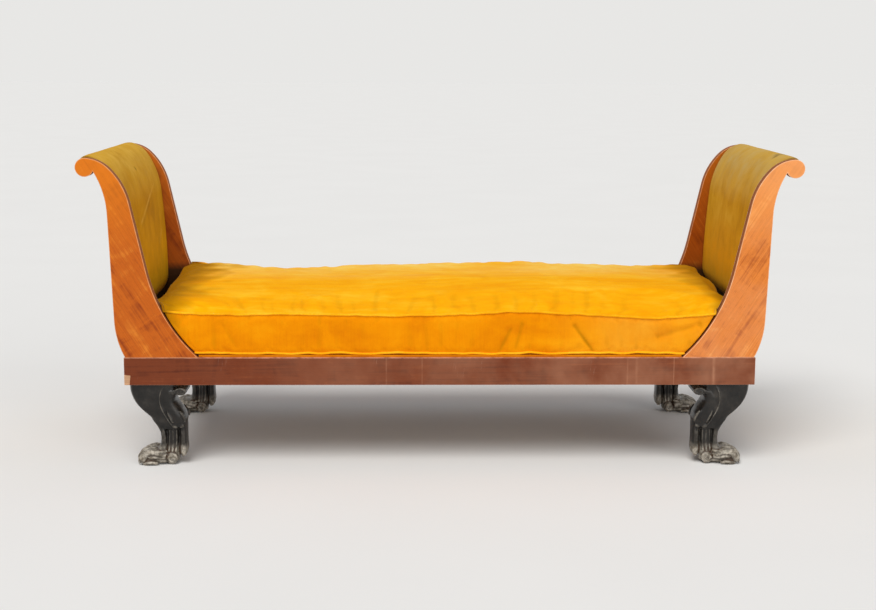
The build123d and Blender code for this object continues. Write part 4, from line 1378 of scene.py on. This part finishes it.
# %% Leg finish
def carved_wood():
    """Black stained wood, worn pale most of all on the paws, and pale on its ridges with wear and a painted
    highlight.
    """
    material, tree, shader, place = finish("worn_black_carving", Roughness=0.36, Specular_IOR_Level=0.35)
    height = coordinate(tree, place, 2)
    stain = speckle(tree, place, 22.0, 4.0, 0.6)
    grain = streaked(tree, place, (0.05, 0.05, 0.0035), 3.0, 0.6, turn=(0, 0.35, 0))
    wood = steps(tree, stain, (0.36, (0.007, 0.006, 0.005)), (0.5, (0.015, 0.013, 0.011)),
                 (0.64, (0.034, 0.029, 0.024)))
    pale_wear_and_highlight = steps(tree, speckle(tree, place, 75.0, 3.0, 0.6), (0.38, (0.20, 0.165, 0.12)),
                 (0.60, (0.60, 0.54, 0.45)))
    foot = span(tree, height, 0.062, 0.040)
    patchy = span(tree, speckle(tree, place, 34.0, 5.0, 0.7), 0.38, 0.62)
    fine = span(tree, speckle(tree, place, 110.0, 3.0, 0.7), 0.40, 0.58, 0.55, 1.0)
    ridge = span(tree, painted(tree, "wear_and_highlight"), 0.30, 1.0)
    # Ridges: pale wear and a painted highlight
    ridge_wear_and_highlight = times(tree, ridge, span(tree, patchy, 0, 1, 0.06, 0.34))
    low_wear = times(tree, foot, span(tree, painted(tree, "wear_and_highlight"), -0.7, 0.35))
    low_wear = times(tree, low_wear, span(tree, patchy, 0, 1, 0.66, 1.0))
    wear = larger(tree, times(tree, low_wear, fine), ridge_wear_and_highlight)
    wood = blend(tree, wear, wood, pale_wear_and_highlight)
    hollow = span(tree, painted(tree, "wear_and_highlight"), -0.2, -0.8)
    brown = times(tree, times(tree, hollow, foot), 0.6)
    wood = blend(tree, brown, wood, (0.10, 0.045, 0.018))
    give_colour(tree, shader, wood, span(tree, wear, 0, 1, 0.32, 0.58))
    raise_up(tree, shader, (grain, 0.2), (patchy, 0.15), (fine, 0.12))
    return material


carving = carved_wood()
for face in faces:
    for end in ends:
        bm = skin.copy()
        mirrored(bm, end == "left", face == "rear")
        hand_over(to_object(bm, f"{face}_{end}_carved_leg", carving), nodes=[f"{face}_{end}_leg"])
skin.free()
print("legs carved")

# %% [markdown]
# ## The seat deck
#
# Jute webbing carries the mattress: nine strips from the front rail to the back and five along the seat, which
# pass over and under one another. Flat strips are bent in waves, so that each crossing has one strip above the
# other. A hessian cloth and a velvet cover lie on them, tacked to the rails, and only the cover's turned-down
# front edge shows, as an orange line under the mattress.

# %% Woven finishes
def threads(tree, along, pitch):
    """A wave from 0 to 1, one for each thread of a cloth."""
    wave = sums(tree, "SINE", times(tree, along, 2 * pi / pitch))
    return add(tree, "ShaderNodeMath", {0: wave, 1: 0.5, 2: 0.5}, operation="MULTIPLY_ADD").outputs[0]


def woven(name, colour, pitch, warp_axis=0, weft_axis=1, stripe=None):
    """Plain woven jute or linen, with its threads along two axes, and a coloured stripe for webbing."""
    material, tree, shader, place = finish(name, Roughness=0.88, Sheen_Weight=0.15)
    waves = add(tree, "ShaderNodeTexNoise", {"Vector": place, "Scale": 40.0}).outputs[1]
    bent = blend(tree, 0.0012, place, waves, "LINEAR_LIGHT")
    warp, weft = (threads(tree, coordinate(tree, bent, axis), pitch) for axis in (warp_axis, weft_axis))
    height = larger(tree, *(times(tree, over, sums(tree, "SUBTRACT", 1.3, under))
                            for over, under in ((warp, weft), (weft, warp))))
    slubs = speckle(tree, place, 260.0, 3.0, 0.7)
    tone = mixture(tree, (height, 0.5), (slubs, 0.5))
    cloth = steps(tree, tone, (0.3, scaled(colour, 0.55)), (0.62, colour), (0.85, scaled(colour, 1.25)))
    if stripe:
        cloth = blend(tree, times(tree, painted(tree, "stripe"), 0.75), cloth, stripe)
    give_colour(tree, shader, cloth)
    raise_up(tree, shader, (height, 0.5), (slubs, 0.2))
    return material


jute = woven("jute_webbing", (0.42, 0.30, 0.16), 2.6 * mm, stripe=(0.20, 0.045, 0.03))
back_jute = woven("back_jute_webbing", (0.42, 0.30, 0.16), 2.6 * mm, 1, 2)
hessian = woven("hessian", (0.48, 0.36, 0.21), 3.4 * mm)
back_hessian = woven("back_hessian", (0.48, 0.36, 0.21), 3.4 * mm, 1, 2)
print("woven finishes ready")

# %% Webbing
webbing_width = 50 * mm
webbing_thickness = 1.8 * mm
webbing_level = rail_top
webbing_rise = 1 * mm
across_pitch, across_count, across_reach = 145 * mm, 9, 344 * mm
long_pitch, long_count, long_reach = 120 * mm, 5, 839 * mm
stripe_place = 15 * mm
stripe_half_width = 4 * mm
strip_step = 12 * mm
landing_length = 30 * mm


def webbing_strip(along, offset, reach, wave, landing, turn):
    """One strip, bent in waves of a pitch, and flat where it lands on a rail."""
    side = 1 - along
    half_size = [reach, reach, webbing_thickness / 2]
    half_size[side] = webbing_width / 2
    strip = box_mesh([-half for half in half_size], half_size)
    cut_across(strip, side, [webbing_width / 2 * share for share in (-0.72, -0.5, 0, 0.5, 0.72)])
    cut_across(strip, along, [-reach + i * strip_step for i in range(1, int(2 * reach / strip_step))])
    stripe = float_layer(strip, "stripe")
    rest = webbing_rise if along == 1 else -webbing_rise
    for vert in strip.verts:
        place, beside = vert.co[along], vert.co[side]
        vert[stripe] = 1.0 if abs(abs(beside) - stripe_place) < stripe_half_width else 0.0
        bend = turn * cos(pi * place / wave)
        landed = clamped((abs(place) - landing) / landing_length)
        vert.co.z += webbing_level + (1 - landed) * bend * webbing_rise + landed * rest
        vert.co[side] += offset
    return strip


def webbing(name, along, count, pitch, reach, wave, landing, sign):
    bm = bmesh.new()
    float_layer(bm, "stripe")
    for i in range(count):
        step = i - (count - 1) // 2
        pour(webbing_strip(along, step * pitch, reach, wave, landing, sign * (-1) ** step), bm)
    return hand_over(to_object(bm, f"{name}_strips", jute, smooth=False), nodes=[name])


webbing("seat_webbing", 1, across_count, across_pitch, across_reach, long_pitch, 0.285, 1)
webbing("long_webbing", 0, long_count, long_pitch, long_reach, across_pitch, 0.785, -1)
print("webbing laid")

# %% Cloths of the deck and the backs
cloth_edge_round = 0.6 * mm
cloth_ripple_size = 0.06
same_plane = 0.002


def taut_cloth(node, name, material, cell, ripple, level=False):
    """A sheet stretched over something: a copy of the node's sheet, cut into cells and slightly uneven."""
    bm = node_copy(node)
    bmesh.ops.dissolve_limit(bm, angle_limit=same_plane, verts=bm.verts, edges=bm.edges)
    low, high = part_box(node)
    for axis in ((0, 1) if level else (1,)):
        count = int((high[axis] - low[axis]) / cell)
        cut_across(bm, axis, [low[axis] + (i + 0.5) * cell for i in range(count)])
    bm.normal_update()
    for vert in bm.verts:
        x, y, z = vert.co
        if level:
            vert.co.z -= abs(wobble(x, y, 0, cloth_ripple_size, ripple))
        else:
            vert.co.x -= abs(wobble(0, y, z, cloth_ripple_size, ripple)) * (1 if x > 0 else -1)
    piece = to_object(bm, name, material)
    soft_edges = piece.modifiers.new("edges", "BEVEL")
    soft_edges.width = cloth_edge_round
    soft_edges.segments = 2
    soft_edges.limit_method = "ANGLE"
    from_modifiers(piece)
    return hand_over(piece, nodes=[node])


deck_velvet = velvet("deck_velvet", (0.50, 0.12, 0.001), (0.64, 0.19, 0.002), (0.74, 0.27, 0.005), 0.1,
                     (1.0, 0.7, 0.3), (0.006, 0.006, 0.006), 0.2, [])
taut_cloth("deck_cover", "deck_velvet_cover", deck_velvet, 40 * mm, 0.8 * mm,
           level=True)
taut_cloth("deck_cloth", "deck_hessian", hessian, 60 * mm, 0.3 * mm,
           level=True)
for end in ends:
    taut_cloth(f"{end}_outside_back", f"{end}_outside_back_velvet", end_velvets[end], 30 * mm,
               0.5 * mm)
    taut_cloth(f"{end}_back_base_cloth", f"{end}_back_hessian", back_hessian, 60 * mm, 0.0)
print("cloths stretched")

# %% [markdown]
# ## Inside the frame
#
# The bearers, corner blocks, back boards, crest rolls and dowels are raw beech, as cabinet makers used for what
# doesn't show, and the screws are plain steel. Their own shapes need nothing more, so they keep the frame's
# solids and get their finish.

# %% Hidden parts
def dull_steel():
    material, tree, shader, place = finish("dull_steel", Metallic=1.0)
    tone = speckle(tree, place, 400.0, 4.0)
    colour = steps(tree, tone, (0.35, (0.24, 0.22, 0.20)), (0.65, (0.46, 0.44, 0.42)))
    give_colour(tree, shader, colour, span(tree, tone, 0.3, 0.7, 0.35, 0.6))
    return material


steel = dull_steel()
inner_finish = {"cross_bearer": beech, "corner_block": beech, "back_board": beech, "crest_roll": beech,
                "dowels": beech, "screws": steel, "back_webbing": back_jute}
for name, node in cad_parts.items():
    for word, material in inner_finish.items():
        if word in name and not node.hide_render and "base_cloth" not in name:
            node.data.materials.clear()
            node.data.materials.append(material)
print("inner parts finished")

# %% [markdown]
# ## Floor and light
#
# The daybed stands on a plain pale floor that runs to the horizon, where it meets a backdrop of its colour.
# Two very broad lamps stand for a softbox above the front and a weaker one at the front right, and the pale
# world fills in the shadows. Rays that the camera sees directly, or in a polished surface, meet the pale
# backdrop, while the light on the object stays at a plain level.

# %% Floor and light
floor_colour = (0.84, 0.835, 0.825)
backdrop_colour = (0.806, 0.800, 0.785)
world_colour = (0.96, 0.975, 1.0)
world_strength = 0.40
floor_half = 60


def make_floor():
    bm = bmesh.new()
    bmesh.ops.create_grid(bm, x_segments=1, y_segments=1, size=floor_half)
    material, tree, shader, place = finish("pale_floor", Roughness=0.8, Specular_IOR_Level=0.0)
    tone = speckle(tree, place, 1.5, 3)
    give_colour(tree, shader, steps(tree, tone, (0.3, scaled(floor_colour, 0.985)), (0.7, floor_colour)))
    floor = to_object(bm, "floor", material)


def make_sun(name, place, strength, spread, colour):
    """A broad lamp so far off that its light is even, seen from the daybed under a wide angle."""
    data = bpy.data.lights.new(name, "SUN")
    data.energy = strength
    data.angle = radians(spread)
    data.color = colour
    lamp = bpy.data.objects.new(name, data)
    lamp.location = place
    lamp.rotation_mode = "QUATERNION"
    lamp.rotation_quaternion = (-Vector(place)).to_track_quat("-Z", "Y")
    bpy.context.scene.collection.objects.link(lamp)


def make_world():
    world = bpy.data.worlds.new("studio")
    world.use_nodes = True
    tree = world.node_tree
    lighting = tree.nodes["Background"]
    lighting.inputs[0].default_value = (*world_colour, 1)
    lighting.inputs[1].default_value = world_strength
    backdrop = add(tree, "ShaderNodeBackground", {0: (*backdrop_colour, 1), 1: 1.0})
    rays = add(tree, "ShaderNodeLightPath").outputs
    seen = larger(tree, rays["Is Camera Ray"],
                larger(tree, rays["Is Glossy Ray"], rays["Is Transmission Ray"]))
    both = add(tree, "ShaderNodeMixShader", {0: seen, 1: lighting.outputs[0], 2: backdrop.outputs[0]})
    tree.links.new(both.outputs[0], tree.nodes["World Output"].inputs[0])
    bpy.context.scene.world = world


make_floor()
make_sun("softbox", (-0.8, -2.2, 3.2), 2.0, 38, (1.0, 0.985, 0.955))
make_sun("right_softbox", (2.2, -3.4, 1.3), 0.75, 40, (1.0, 0.99, 0.97))
make_world()
bpy.context.scene.view_settings.view_transform = "Standard"
